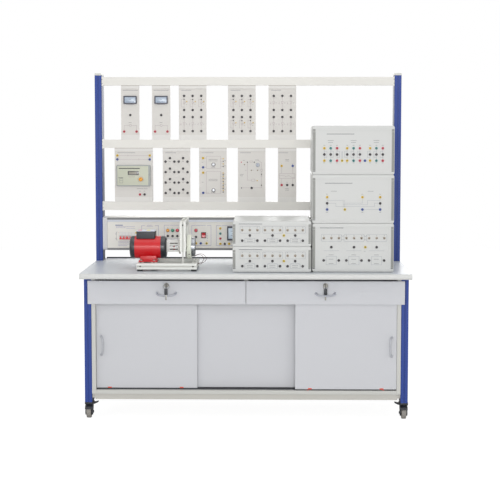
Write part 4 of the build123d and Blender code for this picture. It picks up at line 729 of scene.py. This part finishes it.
# Panel meters: black moulded cases with a bright display behind a thin clear window.
meter_black = finish("meter moulding", (50, 52, 70), tone=0.12, patch=50)
dress(wear_and_highlight(meter_black, (92, 98, 118), 0.0008, 0.4), "panel_meters")
display = finish(
    "meter display", (170, 185, 202), tone=0.03, patch=30, grain=400, roughness=0.25, spread=0.05,
    coat=0.6
)
shapes, marks = [], []
for x in (-638, -470):
    shapes.append(block((x - 31, x + 31), (258.0, 259.2), (upper + 199, upper + 231), 1.5, 0.4))
    marks += moved(x, upper, [[(-4, 218), (4, 218)], [(-22, 205), (22, 205)]])
piece("meter_displays", shapes, display, "meter_black")
printed("meter_marks", (92, 108, 140), 258.0, marks, 1.8)

# Supply unit: a grey housing on its board, with a green front foil, a display, a lit
# button and one orange knob.
unit_grey = finish(
    "unit housing", (166, 169, 168), tone=0.06, patch=20, grain=1100, roughness=0.45, bump=0.3
)
dress(wear_and_highlight(unit_grey, (190, 194, 190), 0.0012, 0.5), "supply_unit")
foil = finish("green foil", (200, 203, 184), tone=0.04, patch=20, grain=900)
unit_face = 252.5
foil_face = block((-710, -541), (unit_face - 0.5, unit_face + 0.3), (1181, 1285), 3, 0.3)
piece("unit_foil", [foil_face], foil, "unit_green")
dark_window = finish("dark window", (84, 83, 82), patch=40, grain=900, roughness=0.2, coat=0.5)
window = block((-653, -592), (251.0, 252.3), (1236, 1258), 2, 0.5)
piece("unit_window", [window], dark_window, "meter_black")
lcd = finish("dim display", (150, 146, 134), tone=0.05, patch=60, grain=800, roughness=0.3)
piece("unit_display", [block((-647, -605), (250.7, 251.3), (1240, 1254), 1, 0.2)], lcd, "meter_black")
foil_print, foil_ink = unit_face - 0.4, (66, 66, 74)
printed("unit_title", foil_ink, foil_print, captions(-699, 1272, (0, 0, 110)), 4.2)
printed("unit_label", foil_ink, foil_print, captions(-702, 1221, (0, 0, 24)), 3.0)
printed("unit_words", (170, 140, 140), foil_print, captions(-648, 1226, (0, 0, 34)), 1.6)
button = [frame_line((-697, -680), (1193, 1216), 2), *captions(-696, 1206, (0, 0, 14)),
          [(-534, 1243), (-539, 1238), (-534, 1233)]]
printed("unit_button", (140, 142, 140), foil_print, button, 1.5)
printed("unit_lamp", (206, 206, 202), 251.0, [[(-600, 1247), (-599, 1247)]], 3.0)
dial = [[(-582 + reach * np.cos(turn), 1213 + reach * np.sin(turn)) for reach in (14, 17)]
        for turn in np.radians(np.arange(-40, 221, 26))]
printed("unit_scale", (84, 90, 96), foil_print, dial, 1.0)

# Console: a bent steel body between two moulded cheeks, with a recessed front panel, dark
# edges above and below it and a bevel under the top edge.
console_paint = finish(
    "console paint", (232, 230, 223), tone=0.04, patch=5, grain=900, roughness=0.42, spread=0.12,
    bump=0.2
)
wear_and_highlight(console_paint, (232, 231, 226), 0.0015, 0.5)
dark_edge = (128, 129, 130)
banded(console_paint, [(0.8, 0.8375, dark_edge), (0.9915, 1.0035, dark_edge),
                       (0.9805, 0.9915, (206, 210, 220))])
# Painted shade: the two cheeks are painted a darker grey than the body.
cheek_shade = (212, 212, 214)
banded(console_paint, [(-0.80, -0.7675, cheek_shade), (0.7675, 0.80, cheek_shade)], "X")
dress(console_paint, "console_body")

console_face = 261.0
outlines = [
    [(-580, 960), (-580, 880), (-488, 880), (-488, 960)], [(-580, 960), (-562, 960)],
    [(-506, 960), (-488, 960)], [(-456, 962), (-456, 887), (-349, 887), (-349, 962)],
    [(-456, 962), (-428, 962)], [(-372, 962), (-349, 962)],
    [(-306, 961), (-306, 851), (-201, 851), (-201, 961)], [(-306, 961), (-286, 961)],
    [(-222, 961), (-201, 961)], [(-171, 961), (-171, 851), (-34, 851)],
    [(-171, 961), (-146, 961)], [(-34, 851), (-34, 961), (-56, 961)],
]
violet = [*outlines, *captions(
    0, 0, (-550, 962, 30), (-424, 962, 48), (-282, 961, 56), (-142, 961, 78), (-720, 954, 102),
    (-720, 948, 52), (-664, 945, 48), (-708, 874, 76), (-708, 866, 60), (-708, 858, 76),
    (-708, 850, 48), (-552, 956, 34),
)]
violet += [[(-224, z), (-218, z)] for z in range(880, 921, 9)]
violet += [[(x, 949), (x + 3, 949)] for x in (-439, -413, -387)]
printed("console_violet", (150, 146, 186), console_face, violet, 1.5)
printed("console_title", (104, 116, 178), console_face, captions(-722, 962, (0, 0, 42)), 4.0)
printed("console_red_words", (226, 120, 130), console_face, captions(-706, 922, (0, 0, 66)), 2.0)
printed("console_bracket", (150, 150, 156), console_face, [
    [(-713, 924), (-719, 924), (-719, 881), (-713, 881)], [(-724, 890), (-716, 890)],
    [(-724, 914), (-716, 914)], [(-678, 837), (-652, 837)], [(-678, 832), (-652, 832)],
], 1.8)
printed("console_dot", (50, 50, 56), console_face, [[(-627, 922), (-625, 922)]], 5.0)

screen = block((-106, -48), (254.4, 256), (889, 947), 2, 0.4)
lit_display = finish(
    "console display", (204, 222, 238), tone=0.03, patch=30, grain=400, roughness=0.25, spread=0.05,
    coat=0.6
)
piece("console_display", [screen], lit_display, "meter_black")
printed("console_display_marks", (92, 108, 140), 254.4, [
    [(-92, 930), (-80, 930)], [(-92, 906), (-62, 906)], [(-86, 918), (-66, 918)],
], 2.0)

# Breaker and switch: a row of moulded breaker poles whose levers are tied by one bar, a
# yellow test button and a red rocker in a black bezel.
breaker_moulding = finish(
    "breaker moulding", (226, 226, 222), tone=0.04, patch=30, roughness=0.35, coat=0.2
)
dress(wear_and_highlight(breaker_moulding, (206, 206, 202), 0.0008, 0.6), "breaker_body")
seams = [[(-704 + 17.33 * pole, 906), (-704 + 17.33 * pole, 924)] for pole in range(1, 6)]
printed("breaker_seams", (192, 192, 190), 253.0, seams, 0.7)
lever_moulding = finish("lever moulding", (222, 42, 46), patch=70, grain=1600, roughness=0.3, coat=0.4)
levers = [block((-700.4, -634.6), (243, 247), (885.6, 891.4), 1, 0.6)]
for x in (-694.5, -676.5, -658.5, -640.5):
    for arm in ([(245, 900, 2), (245, 888, 2)], [(245, 888, 2), (254, 900.5, 1.2)]):
        levers.append(plate(arm, (x - 4.2, x + 4.2), 0, 0.8, 24))
piece("breaker_levers", levers, lever_moulding, "lever_red", "breaker_lever", body="breaker_lever")
drum_moulding = finish(
    "lever drum moulding", (206, 206, 204), tone=0.06, patch=70, grain=1600, roughness=0.35
)
drum = turned([(-700.3, 259, 903)], [(0, 7.4), (0.6, 7.9), (65, 7.9), (65.6, 7.4)], 0, 48, 1)
piece("breaker_drum", drum, drum_moulding, "lever_red", "breaker_lever", body="breaker_lever")
button_moulding = finish(
    "button moulding", (226, 190, 40), tone=0.08, patch=90, grain=1600, roughness=0.35, coat=0.2
)
dress(button_moulding, "test_button")
dress(finish("rocker moulding", (206, 36, 50), patch=90, roughness=0.25, coat=0.5), "rocker_switch")


def recessed(outer, inner, span, depth, edge, directions=40):
    """A plate that faces the user with a recess in its front: outline rings go from the
    recess's floor out over its wall and the front, and over the rounded rims to the
    back. Both outlines are drawn round circles of (z, x, radius)."""
    turn = np.linspace(0, np.pi / 2, 4)
    inset, onward = edge * (1 - np.sin(turn)), edge * (1 - np.cos(turn))
    front, back = span
    levels = np.concatenate([[front + depth, front], front + onward, back - onward[::-1]])
    flat = [outline(inner, 0, directions)] * 2
    flat += [outline(outer, drawn, directions) for drawn in [*inset, *inset[::-1]]]
    rings = np.empty((len(levels), directions, 3))
    rings[..., 1] = levels[:, None]
    rings[..., [2, 0]] = np.stack(flat)
    return lofted(rings)


bezel_black = finish("bezel moulding", (40, 38, 44), tone=0.15, patch=80)
bezel = [
    block(x, (258.8, 261.2), z, 1.2, 0.8)
    for x, z in (((-255, -251.8), (893, 923)), ((-231.2, -228), (893, 923)),
                 ((-255, -228), (920.8, 924)), ((-255, -228), (892, 895.2)))
]
piece("rocker_bezel", bezel, bezel_black, "meter_black")

# Signal lamps: domed lenses of tinted plastic in plated collars, three for the phases and
# one for the output.
lens = [(2.6, 8.8), (4.6, 8.3), (6.0, 6.8), (6.8, 4.4), (7.0, 1.6)]
lamp_colours = {
    "yellow": ([-437], (226, 150, 24)), "green": ([-411], (44, 146, 116)),
    "red": ([-385, -283], (206, 34, 62)),
}
for colour, (places, tone) in lamp_colours.items():
    lens_plastic = finish(f"{colour} lens", tone, patch=120, grain=900, roughness=0.18, coat=0.7)
    spots = [(x, console_face, 934.0) for x in places]
    piece(f"lamp_{colour}", turned(spots, lens, sides=32) + turned(spots, [(0, 8.9), (2.7, 8.8)]),
          lens_plastic, "lamp_colours", "console_lamps")
spots = [(x, console_face, 934.0) for x in (-437, -411, -385, -283)]
ring_section = [(3.0, 8.8), (3.0, 9.5), (2.4, 10), (0, 10), (0, 8.8)]
piece("lamp_collars", hoop(spots, ring_section), nickel, "lamp_colours", "console_lamps")

# Knobs: fluted plastic or turned metal knobs with a pointer line, each on the shaft of a
# potentiometer behind its panel. A dark printed ring surrounds the small ones.
orange_moulding = finish("orange knob", (238, 158, 20), tone=0.08, patch=80, roughness=0.35, coat=0.2)
pale_metal = finish("turned knob metal", (206, 208, 212), tone=0.08, patch=120, roughness=0.3, metallic=0.6)
blue_moulding = finish("blue grey knob", (188, 194, 206), tone=0.08, patch=90)
knobs = {
    "supply_dial": ((-582, 252.5, 1213), 11.0, orange_moulding, "knob_orange", (90, 60, 20)),
    "trimmer_upper": ((-187, 264.5, 1293), 8.5, pale_metal, "knob_silver", (60, 60, 66)),
    "trimmer_lower": ((-187, 264.5, 1153), 8.5, pale_metal, "knob_silver", (60, 60, 66)),
    "gain_dial": ((54, 264.5, 1291), 10.0, blue_moulding, "knob_silver", (50, 54, 66)),
}
for name, ((x, y, z), radius, material, slot, mark) in knobs.items():
    base = [(-6, 3), (0.3, 3), (0.3, radius), (2.4, radius), (3.2, radius - 1.2)]
    shapes = turned([(x, y, z)], base, sides=48)
    grip = [(3.0, radius - 1.4), (11.3, radius - 1.8), (12.0, radius - 2.4), (12.3, radius - 3.4)]
    shapes += turned([(x, y, z)], grip, sides=72, flutes=18, depth=0.08)
    piece(name, shapes, material, slot, name, body=name)
    pointer = block((x - 0.7, x + 0.7), (y - 12.5, y - 12.1), (z + 1, z + radius - 3.4), 0.5, 0.1)
    mark_paint = finish(f"{name} pointer", mark, patch=90, roughness=0.45)
    piece(f"{name}_pointer", [pointer], mark_paint, slot, name, body=name)
rings = [(x, y, z) for name, ((x, y, z), *_) in knobs.items() if name != "supply_dial"]
piece("knob_rings", hoop(rings, [(0.2, 8), (0.2, 10.8), (0, 10.8), (0, 8)]), bezel_black, "meter_black")


# Sockets: 4 mm and 2 mm laboratory sockets of coloured plastic, each with a plated sleeve
# inside, screwed into the panels from the front.
def islands(node):
    """The lowest and highest corners of each separate solid in a carried-over node, in
    millimetres. Points of one triangle share the lowest label among them, until no
    label changes."""
    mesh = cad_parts[node].data
    points, corners = np.empty(len(mesh.vertices) * 3), np.empty(len(mesh.loops), int)
    mesh.vertices.foreach_get("co", points)
    mesh.loops.foreach_get("vertex_index", corners)
    places, index = np.unique((points.reshape(-1, 3) * 1000).round(2), axis=0, return_inverse=True)
    triangles = index.ravel()[corners].reshape(-1, 3)
    label, before = np.arange(len(places)), None
    while before is None or (label != before).any():
        before = label.copy()
        np.minimum.at(label, triangles.ravel(), np.repeat(before[triangles].min(1), 3))
    _, group = np.unique(label, return_inverse=True)
    low, high = np.full((group.max() + 1, 3), np.inf), np.full((group.max() + 1, 3), -np.inf)
    np.minimum.at(low, group.ravel(), places)
    np.maximum.at(high, group.ravel(), places)
    return low, high


rim = np.array([(0, 1), (3.1, 1), (4, 0.84), (4, 0.5), (1.2, 0.46)])
sleeve = np.array([(1.0, 0.32), (3.0, 0.32), (3.0, 0.22), (1.3, 0.2)])
socket_colours = {
    "black": (30, 26, 36), "red": (196, 22, 58), "yellow": (222, 184, 14), "blue": (28, 70, 154),
    "green": (18, 128, 126),
}
sleeves = []
for colour, tone in socket_colours.items():
    node = f"sockets_{colour}"
    low, high = islands(node)
    centres = (low + high) / 2
    centres[:, 1] = high[:, 1]
    radii = (high[:, 0] - low[:, 0]) / 2
    socket_plastic = finish(f"{colour} socket", tone, patch=60, grain=1600, roughness=0.5)
    shapes = []
    for radius, sides in ((6.5, 12), (3.0, 8)):
        spots = centres[np.abs(radii - radius) < 1]
        shapes += turned(spots, rim * (1, radius), sides=sides)
        if radius > 4:
            sleeves += turned(spots, sleeve * (1, radius), sides=8)
    piece(node, shapes, socket_plastic, f"socket_{colour}", node)
sleeve_metal = finish("socket sleeve metal", (104, 100, 98), patch=90, metallic=0.7)
piece("socket_sleeves", sleeves, sleeve_metal, "socket_black")
large_panel, low_panel = -307, -325
earth_spots = [(-225, console_face, 863), (483, large_panel, 1330), (498, large_panel, 1085),
               (602, large_panel, 895), (192, low_panel, 955), (192, low_panel, 826)]
earth_ring = [(4.3, 2.2), (4.3, 3.4), (3.8, 3.6), (3.8, 2.2)]
earth_green = finish("earth mark green", (52, 120, 60), patch=90)
piece("earth_marks", hoop(earth_spots, earth_ring, sides=16), earth_green, "socket_green")

# Instrument cases: folded steel boxes in pale grey paint with rounded corners, a recessed
# front panel and rubber feet. They stand stacked on the worktop.
case_paint = finish(
    "case paint", (208, 209, 207), tone=0.03, patch=5, grain=1300, roughness=0.42, spread=0.12, bump=0.3
)
# Painted highlight: the rims of the cases are painted lighter along their edges.
wear_and_highlight(case_paint, (226, 227, 226), 0.0016, 0.6)
foot_rubber = finish("foot rubber", (46, 46, 50), tone=0.2, patch=80, roughness=0.75)
recess, case_depth = 3, 400
first_bottom, middle_bottom, top_bottom, second_bottom = 771, 1016, 1261, 900
cases = [(540, bottom, 410, 242, large_panel - recess)
         for bottom in (first_bottom, middle_bottom, top_bottom)]
cases += [(132, bottom, 396, 126, low_panel - recess) for bottom in (first_bottom, second_bottom)]
shapes, foot_spots = [], []
for x, bottom, width, height, front in cases:
    half = width / 2
    shell = box_corners((bottom - 1.2, bottom + height + 1.2), (x - half, x + half), 10)
    panel = box_corners((bottom + 16, bottom + height - 16), (x - half + 22, x + half - 22), 3)
    shapes.append(recessed(shell, panel, (front, front + case_depth), recess, 2.5))
    foot_spots += [
        (x + side * (half - 40), depth, bottom - 2.7)
        for side in (-1, 1) for depth in (front + 40, front + 360)
    ]
piece("case_bodies", shapes, case_paint, "case_grey", "instrument_cases")
shapes = turned(foot_spots, [(0, 8), (0.8, 9), (3.2, 9)], 2, 24, 1)
piece("case_feet", shapes, foot_rubber, "case_grey", "instrument_cases")

# Side bars: grey mouldings that cover the joint between case and front, with a darker
# stop at the foot and a split cap at the head.
bar_moulding = finish("side bar moulding", (146, 147, 143), tone=0.05, patch=20, grain=1100, roughness=0.45)
wear_and_highlight(bar_moulding, (178, 179, 176), 0.0012, 0.5)
bars, stops = [], []
for x, bottom, width, height, front in cases:
    for side in (-1, 1):
        across = sorted((x + side * (width / 2 - 17), x + side * (width / 2 + 0.2)))
        deep = (front - 0.3, front + 14)
        low, high = bottom + 14.3, bottom + height - 14.3
        bars.append(block(across, deep, (low + 5, high - 15), 4, 1.0, 2))
        bars.append(block(across, deep, (high - 14.4, high), 4, 1.0, 2))
        stops.append(block(across, deep, (low, low + 4.4), 4, 0.8, 2))
piece("case_bars", bars, bar_moulding, "bar_grey", "case_side_bars")
stop_moulding = finish("bar stop moulding", (92, 94, 96), patch=60, grain=1300, roughness=0.45)
piece("case_bar_stops", stops, stop_moulding, "bar_grey", "case_side_bars")

# Top case, for the windings of a transformer: three groups of three columns of sockets
heading_ink, case_ink, symbol_ink = (96, 98, 108), (112, 114, 120), (164, 168, 174)
titles, words, lines = captions(540, top_bottom, (-133, 202, 138)), [], []
for middle, bracket in ((425.7, 13), (540, -13), (654.3, -13)):
    words += captions(middle, top_bottom, (-14, 170, 27), (-12, 160, 24))
    for x in (middle - 31.8, middle, middle + 31.8):
        words += captions(x, top_bottom, (-4, 146, 8), (-4, 58, 8))
        lines += moved(x, top_bottom, [[(0, 124), (0, 107)], [(0, 93), (0, 76)],
                                       [(0, 116), (bracket, 116), (bracket, 85), (0, 85)]])
lines += moved(540, top_bottom, [[(a, 115), (a, 80)] for a in (-59, -55)])

# Middle case, for the connections of an inductor
titles += captions(540, middle_bottom, (-141, 201, 136))
words += captions(540, middle_bottom, (-111, 161, 30), (73, 161, 29))
for x in (409, 586, 675):
    words += captions(x, middle_bottom, (-5, 146, 10), (-4, 55, 9))
lines += moved(540, middle_bottom, [
    [(-131, 122), (-131, 115), (-50, 115)],
    [(-122, 100), (-87, 100), (-87, 84), (107, 84), (107, 101), (126, 101)],
    [(-43, 101), (46, 101), (46, 122)], [(-50, 93), (72, 93), (72, 115), (135, 115), (135, 122)],
    [(56, 69), (125, 69)], [(-50, 117), (-50, 81)], [(-43, 117), (-43, 81)],
    [(-131, 92), (-131, 78)], [(135, 92), (135, 78)],
])

# Lower case on the right: three switched components behind rounded frames
titles += captions(545, first_bottom, (-170, 221, 116))
words += captions(545, first_bottom, (50, 104, 12))
for x in (431, 545, 659):
    lines += moved(x, first_bottom, [
        frame_line((-50, 51), (153, 189), 3), [(-38, 106), (38, 106)], frame_line((-26, 26), (35, 77)),
        [(-33, 57), (-26, 57)], [(26, 57), (33, 57)],
    ])
    words += captions(x, first_bottom, (-12, 85, 25), (-12, 63, 25), (-12, 41, 25))
    words += moved(x, first_bottom, [[(a - 1.5, 184), (a + 1.5, 184)] for a in (-38, 0, 38)])
for x in (488, 602):
    lines += moved(x, first_bottom, [[(-7, 184), (-2, 178), (2, 178), (7, 184)],
                                     [(-7, 158), (-2, 164), (2, 164), (7, 158)]])
printed("large_case_titles", heading_ink, large_panel, titles, 2.4)
printed("large_case_words", case_ink, large_panel, words, 1.6)
printed("large_case_lines", symbol_ink, large_panel, lines, 1.3)

# Two low cases: each has three switched components in a single row
titles, words, lines = [], [], []
for bottom, branches in ((first_bottom, (-25, 25)), (second_bottom, (0,))):
    titles += captions(135, bottom, (-168, 113, 118))
    for x in (21, 135, 249):
        lines += moved(x, bottom, [
            frame_line((-49, 51), (66, 101), 3), frame_line((-25, 25), (18, 40)),
            [(-25, 29), (-30, 29)], [(25, 29), (30, 29)], *([(0, 47), (end, 40)] for end in branches),
        ])
        words += captions(x, bottom, (-14, 33, 29), (-14, 24, 29))
        words += moved(x, bottom, [[(a - 1.5, 97), (a + 1.5, 97)] for a in (-38, 0, 38)])
printed("low_case_titles", heading_ink, low_panel - recess, titles, 2.4)
printed("low_case_words", case_ink, low_panel, words, 1.6)
printed("low_case_lines", symbol_ink, low_panel, lines, 1.3)

# Toggles: bat levers of plated brass in threaded bushings, each with a hexagon nut. The
# driver board has three smaller ones.
toggle_metal = finish("toggle metal", (134, 122, 106), patch=120, roughness=0.35, metallic=0.6)
rest = np.radians(12.0)
along = np.array([0, -np.cos(rest), -np.sin(rest)])
steps = np.array([-1.5, 0, 3, 6, 9, 11.5, 13, 13.8, 14.2])
widths = np.array([1.4, 1.5, 1.6, 1.85, 2.15, 2.4, 2.3, 1.7, 0.6])
bushing = [(3.0, 3.3), (3.0, 4.3), (0, 4.5), (0, 3.3)]
nuts = []
rows = {
    "toggles_large_case": (545, 941, large_panel), "toggles_low_case_bottom": (135, 853, low_panel),
    "toggles_low_case_top": (135, 982, low_panel),
}
for name, (middle, z, face) in rows.items():
    levers, pivots = [], []
    for column in range(-4, 5):
        pivot = np.array([middle + column * 38.0, face - 2.6, z])
        levers.append(tube(pivot + steps[:, None] * along, widths, (1, 0, 0), 12))
        pivots.append((pivot[0], face, z))
    piece(name, levers, toggle_metal, "toggle_metal", name, body=name)
    nuts += hoop(pivots, bushing, sides=16)
    nuts += hoop(pivots, [(1.2, 4.4), (1.2, 6.6), (0, 6.8), (0, 4.4)], sides=6)
switch_spots = [(-18.5, module_face, 1293), (19, module_face, 1262), (53, module_face, 1262)]
nuts += turned(switch_spots, [(-0.2, 3.4), (1.6, 3.4), (2.0, 1.6), (7.0, 1.4), (7.6, 0.8)], sides=12)
piece("toggle_bushings", nuts, toggle_metal, "toggle_metal")

# Base frame of the rig: slotted aluminium profiles, anodised, joined by hidden angles and
# socket screws. It stands on four rubber feet, and a double column carries the brake.
profile = finish(
    "anodised profile", (222, 223, 218), tone=0.05, patch=30, grain=500, roughness=0.45, spread=0.2,
    metallic=0.15, stretch=(0.15, 1.0, 1.0)
)
wear_and_highlight(profile, (230, 230, 226), 0.0008, 0.4)
banded(profile, [(0.767, 0.7779, (40, 40, 44))])
dress(profile, "rig_frame")
screw_black = finish("black screw", (36, 36, 40), tone=0.2, patch=150, metallic=0.5)
screw = [(-1.5, 3.6), (0.3, 3.6), (0.8, 3.0), (0.8, 1.6), (-0.6, 1.4)]
spots = [(-536, -285, 793), (-268, -285, 793), (-319, -285, 1003), (-292, -207.4, 849)]
# Painted shade: thin strips along the floors of the slots in the profiles are painted darker than the
# profile.
slot_shadow = finish("slot shadow", (206, 206, 200), patch=40, grain=900, roughness=0.6)
length, height, column = (-553, -250), (809, 1021), (-322.8, -315.2)
faces, tops = ((-280.4, -279.9), (-25.1, -24.6)), ((-273.8, -266.2), (-38.8, -31.2))
slot_shade_strips = [(length, y, (789.2, 796.8)) for y in faces] + [(length, y, (802.9, 803.4)) for y in tops]
slot_shade_strips += [(column, y, height) for y in faces]
slot_shade_strips += [(x, y, height) for y in tops for x in ((-329.4, -328.9), (-309.1, -308.6))]
slot_shade_strips = [block(*limits, 0.2, 0.1, 0, 4) for limits in slot_shade_strips]
piece("slot_floor_shade", slot_shade_strips, slot_shadow, "profile_aluminium")
piece("rig_screws", turned(spots, screw, sides=20), screw_black, "profile_aluminium")
tab = [block((-346, -334.2), (-192, -189.6), (850, 929), 1.2, 0.4)]
tab += turned([(-340, -192, z) for z in (862, 882, 902, 920)], [(0, 2.6), (1.5, 2.6), (2, 2)], sides=16)
piece("guard_bracket", tab, nickel, "guard_steel")


# Motor: a rolled and welded steel barrel in red gloss paint on a folded foot, between
# two cast end bells in black. Its terminal box is black plastic with a pale lid.
shaft_y, shaft_z = -152.5, 881.0


def on_shaft(x, profile, sides=96, sign=1, *flutes):
    """A profile of (t, r) turned about the shaft of the rig."""
    return turned([(x, shaft_y, shaft_z)], profile, 0, sides, sign, *flutes)


def round_shaft(x, radius, count, start=0.0):
    """Places at equal angles w on a circle round the shaft, radius (cos w, sin w) off."""
    turn = np.arange(count) * 2 * np.pi / count + start
    return np.stack([0 * turn + x, shaft_y + radius * np.cos(turn), shaft_z + radius * np.sin(turn)], -1)


red_gloss = finish(
    "red gloss paint", (206, 4, 18), tone=0.08, patch=12, grain=1000, roughness=0.34, spread=0.12,
    coat=0.25
)
wear_and_highlight(red_gloss, (212, 34, 46), 0.0012, 0.4)
barrel = [(0, 57.4), (0.6, 58), (66.6, 58), (67.4, 58), (133.4, 58), (134, 57.4)]
shapes = on_shaft(-573, barrel)
shapes.append(block((-545, -461), (-190.5, -114.5), (808.5, 838), 3, 1, 2))
shapes.append(block((-552, -454), (-207.5, -97.5), (808, 814), 5, 1, 2))
shapes.append(plate([(-150, 808, 4), (-155, 808, 4), (-152.5, 834, 2)], (-549, -457), 0, 1, 24))
piece("motor_barrel", shapes, red_gloss, "motor_red", "motor_body")
foot_bolt = [(0, 6.4), (4.5, 6.4), (5.5, 5.2)]
foot_spots = [(x, y, 814) for x in (-538, -471) for y in (-200, -105)]
piece("motor_bolts", turned(foot_spots, foot_bolt, 2, 6, 1), nickel, "motor_red", "motor_body")
bell_paint = finish(
    "black bell paint", (34, 36, 42), tone=0.15, patch=30, grain=900, roughness=0.3, bump=0.3, coat=0.4
)
wear_and_highlight(bell_paint, (84, 88, 96), 0.0015, 0.4)
bell_rim = [(0, 57.5), (3, 57.5), (3.6, 56.4), (4.6, 56.4), (5.2, 57.5)]
left_bell = bell_rim + [(12, 57.5), (18, 56.4), (22.4, 53.4), (25, 49.2), (26, 44), (26, 34),
                        (24.5, 32), (24.5, 14), (26, 12)]
right_bell = bell_rim + [(15, 57.5), (22, 56.4), (26.4, 53.2), (29, 48.6), (30, 43), (30, 26),
                         (28.5, 24), (28.5, 16), (30, 14)]
shapes = on_shaft(-573, left_bell, sign=-1)
shapes += on_shaft(-439, right_bell)
piece("motor_bells", shapes, bell_paint, "bell_black", "motor_end_bells")
spots = round_shaft(-597.4, 24, 12)
piece("bell_vents", turned(spots, [(0, 4.2), (0.6, 4.2), (0.9, 3.8)], 0, 16, -1), screw_black,
      "bell_black", "motor_end_bells")
box_moulding = finish(
    "terminal box moulding", (44, 46, 52), tone=0.12, patch=40, grain=1300, roughness=0.45, bump=0.3
)
wear_and_highlight(box_moulding, (88, 92, 100), 0.0012, 0.5)
lid_moulding = finish("terminal box lid", (206, 211, 226), tone=0.05, patch=30, grain=1100)
box = block((-563.5, -467.5), (-194.5, -110.5), (926, 963.6), 5, 1.2, 2)
piece("terminal_box", [box], box_moulding, "box_black", "motor_terminal_box")
lid = block((-563.5, -467.5), (-194.5, -110.5), (963.4, 967.6), 5, 1.5, 2)
piece("terminal_box_lid", [lid], lid_moulding, "box_black", "motor_terminal_box")
for colour, tone, x in (("red", (232, 70, 92), -547), ("yellow", (236, 226, 64), -503)):
    label = finish(f"{colour} lid label", tone, tone=0.06, patch=90, grain=1200, roughness=0.45)
    patch = block((x - 9.5, x + 9.5), (-188, -140), (967.5, 967.9), 2, 0.1, 2)
    piece(f"lid_label_{colour}", [patch], label, "box_black", "motor_terminal_box")

# Coupling: two turned hubs on the shafts grip a red elastomer spider, under a guard of
# folded steel with three slots.
guard_paint = finish(
    "guard paint", (226, 225, 221), tone=0.04, patch=20, grain=1100, roughness=0.42, bump=0.2
)
dress(wear_and_highlight(guard_paint, (206, 205, 201), 0.001, 0.6), "coupling_guard")
shaft_steel = finish(
    "turned steel", (180, 181, 183), tone=0.08, patch=60, grain=900, roughness=0.28, metallic=1,
    stretch=(1.0, 0.2, 0.2)
)
shapes = on_shaft(-433, [(0, 7.4), (0.6, 8), (158.7, 8), (159.3, 7.4)], 32)
hub_profile = [(0, 12), (0.6, 16.8), (1.8, 18), (19.2, 18), (20, 17.2)]
shapes += on_shaft(-395.5, hub_profile, 48)
shapes += on_shaft(-347.5, hub_profile, 48, -1)
piece("coupling_hubs", shapes, shaft_steel, "shaft_steel", "rotor_shaft", body="rotor")
spider_rubber = finish("red spider", (186, 36, 40), patch=120, roughness=0.5)
spider = on_shaft(-375.5, [(0, 17.6), (8, 17.6)], 72, 1, 6, 0.16)
piece("coupling_spider", spider, spider_rubber, "shaft_steel", "rotor_shaft", body="rotor")

# Brake: a magnetic particle brake on the column. Its flange is painted pale green and its
# turned end cover is polished, with a ring of screws.
brake_paint = finish("brake paint", (240, 243, 228), tone=0.05, patch=20, grain=1000, bump=0.2)
wear_and_highlight(brake_paint, (242, 244, 236), 0.0015, 0.5)
disc = [(0, 61.5), (0.8, 63), (2, 63.5), (20, 63.5), (21.2, 63), (22, 61.5), (22, 49)]
piece("brake_flange", on_shaft(-303.7, disc), brake_paint, "brake_green", "brake_housing")
polished = finish(
    "polished cover", (150, 153, 158), tone=0.06, patch=50, grain=900, roughness=0.22, spread=0.1,
    metallic=1
)
cover = [(-0.5, 50), (4, 50), (4.6, 49.2), (6.4, 49.2), (7, 50), (17.2, 50), (18, 49.4), (18, 44),
         (16.8, 42.5), (16.8, 22), (18, 20.5), (18, 10)]
piece("brake_cover", on_shaft(-281.7, cover), polished, "brake_green", "brake_housing")
spots = round_shaft(-264.9, 33, 6, 0.4)
piece("brake_screws", turned(spots, [(0, 3.2), (1.0, 3.2), (1.2, 2.8)], 0, 16, 1), screw_black,
      "brake_green", "brake_housing")

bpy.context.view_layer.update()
